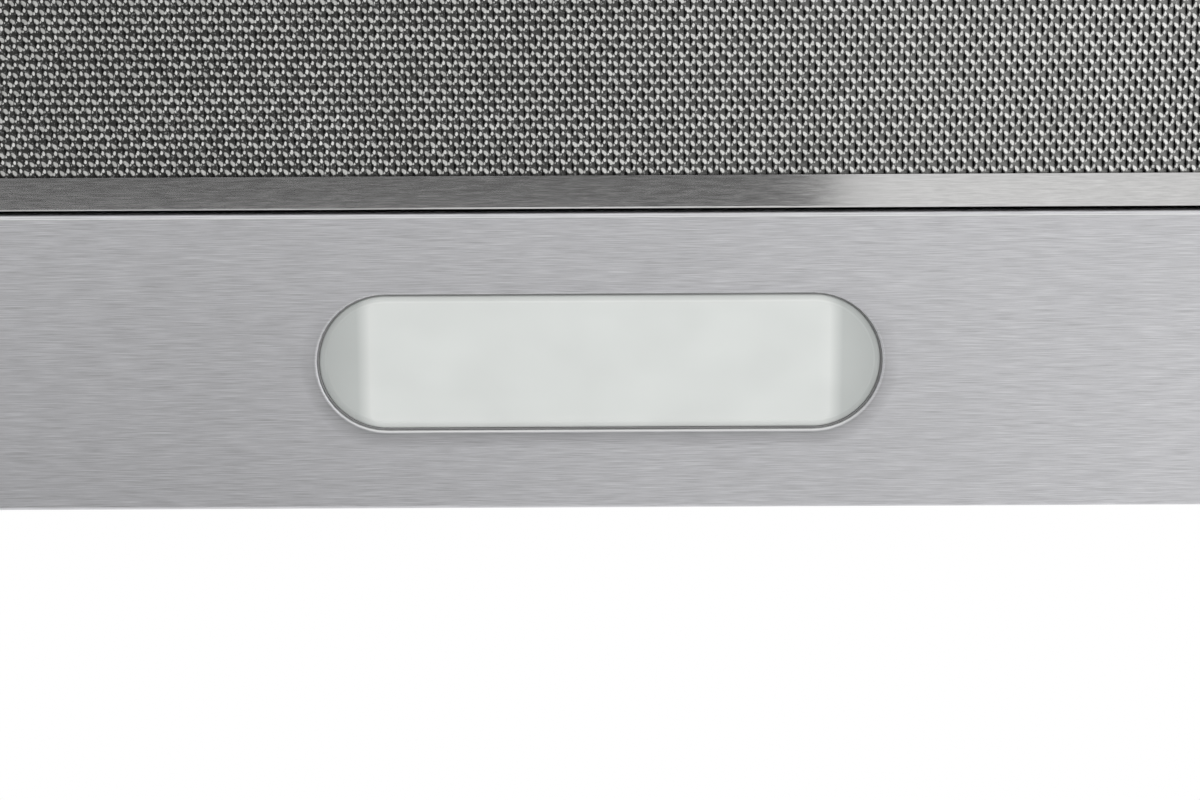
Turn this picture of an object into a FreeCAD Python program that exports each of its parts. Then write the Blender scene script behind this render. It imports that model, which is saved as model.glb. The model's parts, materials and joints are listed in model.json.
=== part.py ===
import FreeCAD
import Part
import math
import os

from FreeCAD import Vector

# A built-in range hood that hangs in the floor of a kitchen wall cabinet.
# The origin is the middle of the cabinet cut-out, in the plane of the cabinet's underside.
# +X is to the right, -Y is towards the cook and +Z is up into the cabinet. Sizes are in millimetres.

# Underside panel, a shallow tray of brushed stainless sheet
panel_width = 560.0
panel_depth = 300.0
panel_drop = 14.0
panel_sheet = 0.8
panel_corner_radius = 3.0
panel_fold_radius = 1.6
seat_lip_width = 12.0
front_strip_depth = 100.0
opening_margin = 18.0
opening_fold_radius = 1.4
opening_fold_height = 5.6
opening_corner_radius = 3.0
pivot_ear_border = 4.5

# Casing of galvanised sheet that goes up through the cut-out
casing_inset = 16.0
casing_sheet = 0.8
casing_corner_radius = 3.0
casing_foot_width = 8.0
casing_rim_width = 14.0
press_depth = 1.6
press_margin = 34.0
press_radius = 12.0
press_floor = 62.0
top_sheet = 0.8
top_bead_width = 22.0
wall_screw_radius = 2.2
wall_screw_height = 9.0
wall_screw_spacing = 180.0

# Grease filter
filter_thickness = 9.0
filter_band = 11.0
filter_sheet = 0.8
filter_edge_radius = 0.7
filter_gap = 1.2
filter_rear_gap = 2.0
mesh_sheet = 0.8
mesh_edge_gap = 1.2
mesh_strand = 2.4
mesh_columns = 20
mesh_rows = 14
back_columns = 14
back_rows = 9
pleat_count = 24
pleat_sheet = 0.5
pivot_radius = 1.5
pivot_head_radius = 2.4
pivot_height = 3.5
pivot_inset = 5.0
running_gap = 0.06
ledge_width = 9.0
ledge_rise = 10.0
ledge_sheet = 0.8
ledge_rear_clear = 30.0
ledge_gap = 0.3

# Filter latches
latch_side_inset = 36.8
latch_cup_width = 40.0
latch_cup_depth = 24.0
latch_cup_bite = 5.0
latch_wall = 1.0
latch_tongue_width = 16.0
latch_tongue_sheet = 1.6
latch_rise = 5.0
latch_reach = 5.2
latch_notch_gap = 1.0
latch_pad_width = 30.0
latch_pad_depth = 11.0
latch_ridge = 2.4
latch_ridge_width = 1.8
latch_spring_width = 26.0
latch_spring_sheet = 0.5
keeper_sheet = 0.5
keeper_width = 3.6
keeper_inset = 0.3
keeper_rise_run = 5.0
keeper_foot = 12.0
latch_gap = 0.25

# Lamp
lamp_hole_length = 188.0
lamp_hole_width_share = 0.46
lamp_rim_height = 4.0
lamp_rim_radius = 0.7
lens_gap = 0.8
lens_recess = 1.2
lens_edge_radius = 1.2
lens_flange = 4.0
lens_flange_thickness = 2.0
gasket_thickness = 0.6
lamp_box_end_inset = 15.5
lamp_box_side_inset = 2.5
lamp_box_height = 20.0
lamp_box_wall = 1.0
lamp_ear = 14.0
lamp_stud_radius = 1.5
lamp_stud_clear = 0.3
lamp_nut_radius = 3.2
lamp_nut_height = 2.4
led_end_gap = 2.5
led_board_width = 14.0
led_board_thickness = 1.6
led_count = 10
led_side = 5.0
led_height = 0.9

# Push buttons
button_side_inset = 49.0
button_count = 5
button_pitch = 9.4
button_width = 7.0
button_length = 10.4
button_corner = 2.0
button_travel = 2.0
button_stand = 1.6
button_gap = 0.2
button_shoulder = 0.7
button_shoulder_height = 1.2
button_stem_radius = 2.0
button_stem_height = 3.4
button_stop_gap = 0.3
bezel_length = 57.0
bezel_width = 20.0
bezel_thickness = 1.2
bezel_edge_radius = 0.8
bezel_border = 2.6
bezel_body_height = 6.0
switch_height = 14.0
switch_width = 17.0
switch_leg = 2.4

# Compartment cover behind the front strip
cover_sheet = 0.8
cover_setback = 8.0
cover_foot = 8.0
cover_height = 46.0
cover_flange = 10.0
cover_gap = 0.3

# Blower: a double-inlet wheel in a spiral scroll of two moulded halves
blade_depth = 12.0
wheel_width = 94.0
wheel_plate = 2.0
wheel_ring_width = 4.0
blade_count = 36
blade_thickness = 1.2
blade_sweep_deg = 14.0
blade_bow = 2.2
blade_tip_share = 0.25
hub_radius = 12.0
hub_length = 17.0
scroll_clear = 10.0
scroll_rear_gap = 1.2
scroll_rear_share = 1.5
scroll_step = 8.0
scroll_wall = 2.0
scroll_side_gap = 3.0
scroll_floor = 20.0
scroll_seam = 4.0
scroll_flange_edge = 5.9
scroll_head_room = 29.0
scroll_flange_thickness = 2.4
inlet_overlap = 8.0
inlet_lip = 6.0
motor_wheel_gap = 14.0
motor_length = 42.0
motor_clear = 7.0
motor_chamfer = 5.0
motor_boss_radius = 18.0
motor_boss_stand = 1.0
motor_rib_count = 12
motor_rib_width = 3.0
motor_rib_height = 2.0
shaft_radius = 4.0
shaft_gap = 0.3
shaft_tail = 3.0
bearing_radius = 8.0
bearing_length = 6.0
spider_sheet = 2.5
spider_arm_width = 12.0
spider_ring_width = 10.0
spider_arms = 3
grommet_radius = 7.0

# Duct outlet with two backdraft flaps
collar_radius = 75.0
collar_wall = 2.0
collar_height = 45.0
collar_flange_width = 19.0
collar_flange_thickness = 2.5
collar_screw_reach = 10.0
flap_seat_height = 10.0
flap_seat_width = 3.5
flap_seat_thickness = 2.0
flap_thickness = 1.2
flap_edge_gap = 0.9
flap_lift = 0.3
flap_pin_radius = 1.5
flap_pin_height = 14.0
flap_knuckle_radius = 3.0
flap_knuckle_length = 18.0
flap_knuckle_step = 24.0
flap_knuckle_gap = 0.5
flap_knuckle_shares = (-1.5, 0.5)

# Terminal box on top
terminal_side_inset = 50.0
terminal_collar_gap = 2.0
terminal_lead_inset = 9.0
terminal_width = 74.0
terminal_height = 38.0
terminal_wall = 2.0
terminal_corner = 5.0
terminal_lid_thickness = 2.4
terminal_lid_rim = 4.0
capacitor_radius = 14.0
capacitor_length_share = 0.49
capacitor_edge = 3.0
connector_length_share = 0.39
connector_width = 20.0
connector_height = 16.0
gland_radius = 9.0
gland_nut_radius = 11.0
gland_nut_length = 6.0
gland_length = 22.0
gland_bore_radius = 3.6
gland_height = 20.0
gland_round = 3.0

# Fasteners, cabinet clips and leads
screw_radius = 1.9
screw_head_radius = 3.8
screw_head_height = 2.2
screw_head_round = 1.0
screw_length = 8.0
screw_gap = 0.15
rim_screw_columns = 4
clip_width = 22.0
clip_sheet = 0.8
clip_spacing = 140.0
clip_top = 92.0
clip_tab = 26.0
clip_out = 9.0
clip_floor = 20.0
clip_hook = 7.0
lead_radius = 2.5
lead_hole_gap = 0.4
lead_hole_step = 20.0
lead_bend = 12.0
overrun = 5.0
along_share = 0.5

# Places worked out from the sizes above
half_width = panel_width / 2
half_depth = panel_depth / 2
under_z = -panel_drop
floor_z = under_z + panel_sheet
strip_rear_y = -half_depth + front_strip_depth
strip_middle_y = -half_depth + front_strip_depth / 2
opening_x = half_width - opening_margin
opening_rear_y = half_depth - opening_margin
casing_x = half_width - casing_inset
casing_y = half_depth - casing_inset
casing_inner_x = casing_x - casing_sheet
casing_inner_y = casing_y - casing_sheet
filter_x = opening_x - filter_gap
latch_place = filter_x - latch_side_inset
filter_front_y = strip_rear_y + filter_gap
filter_rear_y = opening_rear_y - filter_rear_gap
filter_top_z = under_z + filter_thickness
pivot_y = filter_rear_y - pivot_inset
pivot_z = under_z + pivot_height
lens_front_z = under_z + lens_recess
rim_top_z = under_z + lamp_rim_height
lens_flange_z = rim_top_z + gasket_thickness
lamp_box_z = lens_flange_z + lens_flange_thickness
lamp_box_top_z = lamp_box_z + lamp_box_height
lamp_hole_width = front_strip_depth * lamp_hole_width_share
lamp_box_length = lamp_hole_length - 2 * lamp_box_end_inset
lamp_box_width = lamp_hole_width - 2 * lamp_box_side_inset
led_board_length = lamp_box_length - 2 * lamp_box_wall - 2 * led_end_gap
button_place = half_width - button_side_inset
cover_wall_y = strip_rear_y - cover_setback
scroll_rear_room = casing_inner_y - scroll_rear_gap - scroll_wall - scroll_seam
scroll_start_radius = scroll_rear_room / scroll_rear_share - scroll_step
wheel_radius = scroll_start_radius - scroll_clear
wheel_inner_radius = wheel_radius - blade_depth
inlet_radius = wheel_radius - inlet_overlap
motor_radius = wheel_inner_radius - motor_wheel_gap
spider_ring_radius = motor_boss_radius + spider_ring_width
spider_foot_radius = scroll_start_radius
collar_flange_radius = collar_radius + collar_flange_width
collar_screw_place = collar_radius + collar_screw_reach
scroll_flange_half = collar_screw_place * math.sqrt(along_share) + scroll_flange_edge
scroll_x = wheel_width / 2 + scroll_side_gap
scroll_outer_x = scroll_x + scroll_wall
scroll_rear_reach = scroll_start_radius + scroll_step / 2
scroll_low_reach = scroll_rear_reach + scroll_step
scroll_front_reach = scroll_low_reach + scroll_step
wheel_y = (scroll_front_reach - scroll_step / 2) / 2
wheel_z = scroll_floor + scroll_low_reach + scroll_wall
casing_height = wheel_z + wheel_radius + scroll_head_room
casing_top_z = casing_height - top_sheet
scroll_top_z = casing_top_z
motor_right_x = -wheel_plate / 2 - motor_clear
motor_left_x = motor_right_x - motor_length
shaft_end_x = motor_left_x - shaft_tail
spider_x = -scroll_outer_x - inlet_lip - motor_clear / 2
motor_end_x = spider_x - spider_sheet - motor_boss_stand
collar_bore = collar_radius - collar_wall
collar_base_z = casing_height
collar_top_z = collar_base_z + collar_height
flap_seat_z = collar_base_z + flap_seat_height
flap_pin_z = collar_base_z + flap_pin_height
terminal_room = casing_x - terminal_side_inset
terminal_length = terminal_room - collar_flange_radius - terminal_collar_gap
terminal_place_x = terminal_length / 2 - terminal_room
capacitor_length = terminal_length * capacitor_length_share
connector_length = terminal_length * connector_length_share
terminal_top_z = casing_height + terminal_height
terminal_place_y = wheel_y + terminal_width / 2 - terminal_lead_inset


def slab(x0, x1, y0, y1, z0, z1):
    """Plain block between two corners."""
    return Part.makeBox(x1 - x0, y1 - y0, z1 - z0, Vector(x0, y0, z0))


def round_slab(x0, x1, y0, y1, z0, z1, radius):
    """Block whose four upright edges are rounded."""
    block = slab(x0, x1, y0, y1, z0, z1)
    upright = [e for e in block.Edges if abs(e.tangentAt(e.FirstParameter).z) > along_share]
    return block.makeFillet(radius, upright)


def stadium(x, y, length, width, z0, z1):
    """Upright prism with two parallel sides and half-round ends."""
    r = width / 2
    run = length / 2 - r
    a, b = Vector(x - run, y - r, z0), Vector(x + run, y - r, z0)
    c, d = Vector(x + run, y + r, z0), Vector(x - run, y + r, z0)
    right, left = Vector(x + length / 2, y, z0), Vector(x - length / 2, y, z0)
    edges = [
        Part.LineSegment(a, b).toShape(),
        Part.Arc(b, right, c).toShape(),
        Part.LineSegment(c, d).toShape(),
        Part.Arc(d, left, a).toShape(),
    ]
    return Part.Face(Part.Wire(edges)).extrude(Vector(0, 0, z1 - z0))


def rod_x(x0, x1, y, z, radius):
    """Round bar along X."""
    return Part.makeCylinder(radius, x1 - x0, Vector(x0, y, z), Vector(1, 0, 0))


def rod_z(x, y, z0, z1, radius):
    """Round bar along Z."""
    return Part.makeCylinder(radius, z1 - z0, Vector(x, y, z0), Vector(0, 0, 1))


def polygon_face(points):
    """Flat face inside a closed run of straight lines."""
    return Part.Face(Part.makePolygon(points + points[:1]))


def edges_at_height(shape, z):
    """Edges that lie wholly at one height."""
    return [e for e in shape.Edges if all(abs(v.Z - z) < 1e-6 for v in e.Vertexes)]


def inside_plan(edge, x0, x1, y0, y1):
    """Whether an edge lies within a rectangle seen from above."""
    box = edge.BoundBox
    return box.XMin >= x0 and box.XMax <= x1 and box.YMin >= y0 and box.YMax <= y1


def joined(shapes):
    """One clean solid from overlapping ones."""
    return shapes[0].fuse(shapes[1:]).removeSplitter()


def save(name, *shapes):
    """Writes one node, made of one or more separate solids."""
    solids = [s for shape in shapes for s in shape.Solids]
    for solid in solids:
        if not solid.isValid():
            raise ValueError(f"{name} has a faulty solid")
    whole = solids[0] if len(solids) == 1 else Part.makeCompound(solids)
    whole.exportStep(f"parts/{name}.step")


def tray():
    """Folded tray with rounded corners, a rolled lower edge and a seat lip turned in at its top."""
    outer = round_slab(-half_width, half_width, -half_depth, half_depth, under_z, 0, panel_corner_radius)
    outer = outer.makeFillet(panel_fold_radius, edges_at_height(outer, under_z))
    x, y = half_width - panel_sheet, half_depth - panel_sheet
    inner = round_slab(-x, x, -y, y, floor_z, 0, panel_corner_radius - panel_sheet)
    inner = inner.makeFillet(panel_fold_radius - panel_sheet, edges_at_height(inner, floor_z))
    lip = round_slab(-half_width, half_width, -half_depth, half_depth, -panel_sheet, 0, panel_corner_radius)
    x, y = half_width - seat_lip_width, half_depth - seat_lip_width
    lip = lip.cut(slab(-x, x, -y, y, -panel_sheet, 0))
    return joined([outer.cut(inner), lip])


def panel_openings(panel):
    """Adds the upturned edges of the filter opening and the lamp rim, then cuts both through."""
    t = panel_sheet
    top = under_z + opening_fold_height
    x, radius = opening_x, opening_corner_radius
    opening = round_slab(-x, x, strip_rear_y, opening_rear_y, under_z, top, radius)
    fold = round_slab(-opening_x - t, opening_x + t, strip_rear_y - t, opening_rear_y + t, under_z, top,
                      opening_corner_radius + t)
    rim = stadium(0, strip_middle_y, lamp_hole_length + 2 * t, lamp_hole_width + 2 * t, under_z, rim_top_z)
    panel = joined([panel, rim, fold])
    lamp_hole = stadium(0, strip_middle_y, lamp_hole_length, lamp_hole_width, under_z, rim_top_z)
    return panel.cut([opening, lamp_hole])


def pivot_ear(side):
    """Raised part of the opening's side fold that takes a pivot pin."""
    x = side * opening_x
    far = x + side * panel_sheet
    low = under_z + opening_fold_radius
    high = pivot_z + pivot_ear_border
    return slab(min(x, far), max(x, far), pivot_y - pivot_ear_border, pivot_y + pivot_ear_border, low, high)


def underside_panel():
    """Brushed panel seen from below: front strip with the lamp and buttons, and the filter opening."""
    panel = panel_openings(tray())
    bottom = edges_at_height(panel, under_z)
    lamp_x = lamp_hole_length / 2 + lens_gap
    lamp_edges = [e for e in bottom if inside_plan(e, -lamp_x, lamp_x, -half_depth, strip_rear_y - lens_gap)]
    panel = panel.makeFillet(lamp_rim_radius, lamp_edges)
    bottom = edges_at_height(panel, under_z)
    x, rear = opening_x + lens_gap, opening_rear_y + lens_gap
    fold_edges = [e for e in bottom if inside_plan(e, -x, x, strip_rear_y - lens_gap, rear)]
    panel = panel.makeFillet(opening_fold_radius, fold_edges)
    panel = joined([panel, pivot_ear(-1), pivot_ear(1)])
    ear_x = opening_x + panel_sheet
    panel = panel.cut(rod_x(-ear_x, ear_x, pivot_y, pivot_z, pivot_radius + running_gap))
    half = latch_tongue_width / 2 + latch_notch_gap
    front = filter_front_y - latch_reach - latch_notch_gap
    for side in (-1, 1):
        x = side * latch_place
        notch_top = under_z + opening_fold_height
        panel = panel.cut(slab(x - half, x + half, front, strip_rear_y, under_z, notch_top))
    border = bezel_border - button_gap
    length, width = bezel_length - 2 * border, bezel_width - 2 * border
    hole = stadium(button_place, strip_middle_y, length, width, under_z, floor_z)
    return panel.cut(hole)


def latch_keeper(side):
    """Leaf spring on the tray floor whose free end bears under a latch tongue."""
    y0 = filter_front_y - latch_reach - latch_notch_gap + keeper_inset
    t = keeper_sheet
    tip = side * (latch_place - latch_tongue_width / 2)
    end = side * (latch_place + latch_tongue_width / 2)
    foot = end + side * keeper_rise_run
    heel = foot + side * keeper_foot
    high = latch_z() - latch_gap
    points = [(tip, high - t), (end, high - t), (foot, floor_z), (heel, floor_z), (heel, floor_z + t),
              (foot + side * t, floor_z + t), (end + side * t, high), (tip, high)]
    profile = polygon_face([Vector(x, y0, z) for x, z in points])
    return profile.extrude(Vector(0, keeper_width, 0))


def pressed_field(grow, y0, y1):
    """Rounded field of the front or rear casing wall, between two depths."""
    x = casing_x - press_margin - grow
    low, high = press_floor + grow, casing_top_z - press_margin - grow
    plate = slab(-x, x, min(y0, y1), max(y0, y1), low, high)
    along = [e for e in plate.Edges if abs(e.tangentAt(e.FirstParameter).y) > along_share]
    return plate.makeFillet(press_radius - grow, along)


def casing_body():
    """Four walls with a foot flange on the tray floor and a rim turned in under the top plate."""
    x, y = casing_x, casing_y
    outer = round_slab(-x, x, -y, y, floor_z, casing_top_z, casing_corner_radius)
    xi, yi = casing_inner_x, casing_inner_y
    inner = round_slab(-xi, xi, -yi, yi, floor_z, casing_top_z, casing_corner_radius - casing_sheet)
    walls = outer.cut(inner)
    foot = slab(-x - casing_foot_width, x + casing_foot_width, -y - casing_foot_width, y + casing_foot_width,
                floor_z, floor_z + casing_sheet).cut(inner)
    rim = outer.common(slab(-x, x, -y, y, casing_top_z - casing_sheet, casing_top_z))
    xr, yr = x - casing_rim_width, y - casing_rim_width
    rim = rim.cut(slab(-xr, xr, -yr, yr, casing_top_z - casing_sheet, casing_top_z))
    body = joined([walls, foot, rim])
    for side in (-1, 1):
        outside, inside = side * (y + press_depth), side * yi
        body = body.fuse(pressed_field(0, side * y, outside))
        body = body.cut(pressed_field(casing_sheet, inside, side * (yi + press_depth)))
    hole_y = wall_screw_spacing / 2
    for y_hole in (-hole_y, hole_y):
        body = body.cut(rod_x(-x - overrun, x + overrun, y_hole, wall_screw_height, wall_screw_radius))
    for clip_y in clip_rows():
        bore = screw_radius + screw_gap
        body = body.cut(rod_x(-x - overrun, x + overrun, clip_y, clip_screw_height(), bore))
    for place in rim_screws():
        body = body.cut(rod_z(*place, casing_top_z - screw_length, casing_top_z, screw_radius + screw_gap))
    return body.removeSplitter()


def rim_screws():
    """Places of the screws that hold the top plate on the casing's rim."""
    y = casing_y - casing_rim_width / 2
    step = 2 * (casing_x - press_margin) / (rim_screw_columns - 1)
    columns = [-casing_x + press_margin + i * step for i in range(rim_screw_columns)]
    return [(x, side * y) for side in (-1, 1) for x in columns]


def collar_screws():
    """Places of the four screws through the collar's flange."""
    angles = [math.radians(45 + 90 * i) for i in range(4)]
    return [(collar_screw_place * math.cos(a), collar_screw_place * math.sin(a)) for a in angles]


def lead_holes():
    """Places where the leads pass through the top plate into the terminal box."""
    x, step = terminal_place_x, lead_hole_step
    return {"lamp": (x - step, wheel_y), "switch": (x, wheel_y), "motor": (x + step, wheel_y)}


def top_plate():
    """Lid with the round outlet, two pressed beads and the screw holes."""
    x, y = casing_x, casing_y
    plate = round_slab(-x, x, -y, y, casing_top_z, casing_height, casing_corner_radius)
    for side in (-1, 1):
        bead_x = casing_x - press_margin
        length = 2 * (casing_y - press_margin)
        outer = stadium(0, 0, length, top_bead_width, casing_top_z, casing_height + press_depth)
        inner = stadium(0, 0, length - 2 * top_sheet, top_bead_width - 2 * top_sheet, casing_top_z,
                        casing_height + press_depth - top_sheet)
        for bead in (outer, inner):
            bead.rotate(Vector(0, 0, 0), Vector(0, 0, 1), 90)
            bead.translate(Vector(side * bead_x, 0, 0))
        plate = plate.fuse(outer).cut(inner)
    plate = plate.cut(rod_z(0, 0, casing_top_z, casing_height, collar_bore))
    clear = screw_radius + screw_gap
    for place in rim_screws() + collar_screws():
        plate = plate.cut(rod_z(*place, casing_top_z, casing_height, clear))
    for place in lead_holes().values():
        plate = plate.cut(rod_z(*place, casing_top_z, casing_height, lead_radius + lead_hole_gap))
    return plate.removeSplitter()


def pan_screw(x, y, z, length):
    """Domed screw driven downwards, its head resting at height z."""
    head = rod_z(x, y, z, z + screw_head_height, screw_head_radius)
    head = head.makeFillet(screw_head_round, edges_at_height(head, z + screw_head_height))
    return joined([head, rod_z(x, y, z - length, z, screw_radius)])


def compartment_cover():
    """Bent sheet that shuts the lamp and switch compartment off from the air chamber."""
    x = casing_inner_x - cover_gap
    y, t = cover_wall_y, cover_sheet
    front = -casing_inner_y + cover_gap
    profile = polygon_face([
        Vector(-x, y, floor_z), Vector(-x, y, cover_height + t), Vector(-x, front + t, cover_height + t),
        Vector(-x, front + t, cover_height + cover_flange), Vector(-x, front, cover_height + cover_flange),
        Vector(-x, front, cover_height), Vector(-x, y - t, cover_height), Vector(-x, y - t, floor_z + t),
        Vector(-x, y - cover_foot, floor_z + t), Vector(-x, y - cover_foot, floor_z),
    ])
    cover = profile.extrude(Vector(2 * x, 0, 0))
    top = cover_height + cover_flange
    cover = cover.common(round_slab(-x, x, front, y, floor_z, top, casing_corner_radius))
    for name in ("lamp", "switch"):
        hole_x = lead_holes()[name][0]
        bore = lead_radius + lead_hole_gap
        cover = cover.cut(rod_z(hole_x, strip_middle_y, cover_height, cover_height + t, bore))
    return cover


def filter_ledge(side):
    """Angle strip on a casing side wall that stops the filter from going too far up."""
    x = side * casing_inner_x
    low = filter_top_z + ledge_gap
    profile = polygon_face([
        Vector(x, filter_front_y, low), Vector(x - side * ledge_width, filter_front_y, low),
        Vector(x - side * ledge_width, filter_front_y, low + ledge_sheet),
        Vector(x - side * ledge_sheet, filter_front_y, low + ledge_sheet),
        Vector(x - side * ledge_sheet, filter_front_y, low + ledge_rise),
        Vector(x, filter_front_y, low + ledge_rise),
    ])
    return profile.extrude(Vector(0, filter_rear_y - ledge_rear_clear - filter_front_y, 0))


def latch_zone(grow):
    """Block of the filter that a latch takes up, on both sides."""
    half = latch_cup_width / 2 + grow
    front = filter_front_y + filter_sheet
    rear = filter_front_y + filter_band + latch_cup_depth + grow
    low, high = under_z + filter_sheet, filter_top_z - filter_sheet
    return [slab(x - half, x + half, front, rear, low, high) for x in (-latch_place, latch_place)]


def latch_z():
    """Height of the lower face of a latch tongue."""
    return under_z + latch_rise


def latch_slot(grow):
    """Passage of both latch tongues through the frame's front web and the front of the cups."""
    half = latch_tongue_width / 2 + grow
    front, rear = filter_front_y, filter_front_y + filter_band
    low, high = latch_z() - grow, latch_z() + latch_tongue_sheet + grow
    return [slab(x - half, x + half, front, rear, low, high) for x in (-latch_place, latch_place)]


def filter_frame():
    """Folded aluminium channel all round the mesh, with its outer edges eased."""
    outer = slab(-filter_x, filter_x, filter_front_y, filter_rear_y, under_z, filter_top_z)
    outer = outer.makeFillet(filter_edge_radius, outer.Edges)
    t, b = filter_sheet, filter_band
    x = filter_x - t
    channel = slab(-x, x, filter_front_y + t, filter_rear_y - t, under_z + t, filter_top_z - t)
    window = slab(-filter_x + b, filter_x - b, filter_front_y + b, filter_rear_y - b, under_z, filter_top_z)
    frame = outer.cut([channel, window])
    frame = frame.cut(rod_x(-filter_x, filter_x, pivot_y, pivot_z, pivot_radius))
    return frame.cut(latch_slot(latch_gap))


def net(z, columns, rows):
    """Sheet of interleaved diamond gaps, slid into the frame's channel."""
    edge = filter_sheet + mesh_edge_gap
    x0, x1 = -filter_x + edge, filter_x - edge
    y0, y1 = filter_front_y + edge, filter_rear_y - edge
    pitch_x = 2 * (filter_x - filter_band) / columns
    pitch_y = (filter_rear_y - filter_front_y - 2 * filter_band) / (rows + 1)
    hx, hy = pitch_x / 2 - mesh_strand, pitch_y - mesh_strand * 2 * pitch_y / pitch_x
    outline = Part.makePolygon([Vector(x0, y0, z), Vector(x1, y0, z), Vector(x1, y1, z), Vector(x0, y1, z),
                                Vector(x0, y0, z)])
    gaps = []
    for row in range(rows):
        odd = row % 2
        y = filter_front_y + filter_band + pitch_y * (row + 1)
        for column in range(columns - odd):
            x = -filter_x + filter_band + pitch_x * (column + (1 + odd) / 2)
            corners = [Vector(x - hx, y, z), Vector(x, y - hy, z), Vector(x + hx, y, z), Vector(x, y + hy, z)]
            gaps.append(Part.makePolygon(corners + corners[:1]))
    sheet = Part.makeFace([outline, *gaps], "Part::FaceMakerBullseye").extrude(Vector(0, 0, mesh_sheet))
    return sheet.cut(latch_zone(latch_gap))


def pleated_core():
    """Zigzag layer that fills the frame between the two flat meshes."""
    edge = filter_sheet + mesh_edge_gap
    low = under_z + filter_sheet + mesh_sheet
    high = filter_top_z - filter_sheet - mesh_sheet - pleat_sheet
    y0 = filter_front_y + edge
    step = (2 * filter_x - 2 * edge) / (2 * pleat_count)
    heights = [low if i % 2 == 0 else high for i in range(2 * pleat_count + 1)]
    lower = [Vector(-filter_x + edge + i * step, y0, h) for i, h in enumerate(heights)]
    upper = [p + Vector(0, 0, pleat_sheet) for p in reversed(lower)]
    core = polygon_face(lower + upper).extrude(Vector(0, filter_rear_y - filter_front_y - 2 * edge, 0))
    return core.cut(latch_zone(latch_gap))


def pivot_pin(side):
    """Headed pin riveted in the frame's side web, which the filter swings on."""
    web = side * (filter_x - filter_sheet)
    tip = side * (opening_x + panel_sheet)
    head = web - side * filter_sheet
    head_rod = rod_x(min(head, web), max(head, web), pivot_y, pivot_z, pivot_head_radius)
    return joined([head_rod, rod_x(min(web, tip), max(web, tip), pivot_y, pivot_z, pivot_radius)])


def latch_cup(side):
    """Moulded cup pinched in the frame's channel, open below for a finger."""
    x = side * latch_place
    half = latch_cup_width / 2
    front = filter_front_y + filter_band - latch_cup_bite
    rear = filter_front_y + filter_band + latch_cup_depth
    low, high = under_z + filter_sheet, filter_top_z - filter_sheet
    cup = slab(x - half, x + half, front, rear, low, high)
    w = latch_wall
    cup = cup.cut(slab(x - half + w, x + half - w, front + w, rear - w, low, high - w))
    return cup.cut(latch_slot(latch_gap))


def latch_pad_front():
    """Front face of a slider's finger pad at rest."""
    return filter_front_y + filter_band - latch_cup_bite + latch_wall + latch_gap


def latch_slider(side):
    """Sprung slider: a tongue out past the frame and a ridged finger pad."""
    x = side * latch_place
    low = latch_z()
    high = low + latch_tongue_sheet
    pad_front = latch_pad_front()
    pad_rear = pad_front + latch_pad_depth
    half = latch_tongue_width / 2
    tongue = slab(x - half, x + half, filter_front_y - latch_reach, pad_rear, low, high)
    half = latch_pad_width / 2
    pad = slab(x - half, x + half, pad_front, pad_rear, low, high)
    ridge = slab(x - half, x + half, pad_rear - latch_ridge_width, pad_rear, low - latch_ridge, low)
    return joined([tongue, pad, ridge])


def latch_spring(side):
    """Bowed leaf between a slider's pad and the rear wall of its cup."""
    x = side * latch_place
    front = latch_pad_front() + latch_pad_depth
    rear = filter_front_y + filter_band + latch_cup_depth - latch_wall
    half, t = latch_spring_width / 2, latch_spring_sheet
    z = latch_z()
    points = [(x - half, rear - t), (x, front), (x + half, rear - t), (x + half, rear), (x, front + 2 * t),
              (x - half, rear)]
    return polygon_face([Vector(px, py, z) for px, py in points]).extrude(Vector(0, 0, latch_tongue_sheet))


def lamp_lens():
    """Oblong frosted glass with eased front edge and a flange that rests behind the rim."""
    length, width = lamp_hole_length - 2 * lens_gap, lamp_hole_width - 2 * lens_gap
    plug = stadium(0, strip_middle_y, length, width, lens_front_z, lamp_box_z)
    plug = plug.makeFillet(lens_edge_radius, edges_at_height(plug, lens_front_z))
    flange = stadium(0, strip_middle_y, lamp_hole_length + 2 * lens_flange, lamp_hole_width + 2 * lens_flange,
                     lens_flange_z, lamp_box_z)
    return joined([plug, flange])


def lamp_gasket():
    """Flat seal between the panel's rim and the lens flange."""
    ring = stadium(0, strip_middle_y, lamp_hole_length + 2 * lens_flange, lamp_hole_width + 2 * lens_flange,
                   rim_top_z, lens_flange_z)
    return ring.cut(stadium(0, strip_middle_y, lamp_hole_length, lamp_hole_width, rim_top_z, lens_flange_z))


def lamp_stud_x():
    """Distance of each lamp stud from the middle."""
    return lamp_hole_length / 2 + lens_flange + lamp_ear / 2


def lamp_housing():
    """White reflector box over the lens, with an ear at each end for a stud."""
    w = lamp_box_wall
    x, y = lamp_box_length / 2, lamp_box_width / 2
    mid = strip_middle_y
    length = lamp_hole_length + 2 * lens_flange + 2 * lamp_ear
    plate = stadium(0, mid, length, lamp_hole_width + 2 * lens_flange,
                    lamp_box_z, lamp_box_z + w)
    box = slab(-x - w, x + w, mid - y - w, mid + y + w, lamp_box_z, lamp_box_top_z + w)
    hollow = slab(-x, x, mid - y, mid + y, lamp_box_z, lamp_box_top_z)
    shell = joined([plate, box]).cut(hollow)
    for side in (-1, 1):
        bore = lamp_stud_radius + lamp_stud_clear
        shell = shell.cut(rod_z(side * lamp_stud_x(), mid, lamp_box_z, lamp_box_z + w, bore))
    return shell


def lamp_studs():
    """Studs welded on the panel, one at each end of the lamp."""
    top = lamp_box_z + lamp_box_wall + lamp_nut_height + lamp_stud_radius
    return [rod_z(s * lamp_stud_x(), strip_middle_y, floor_z, top, lamp_stud_radius) for s in (-1, 1)]


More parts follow.
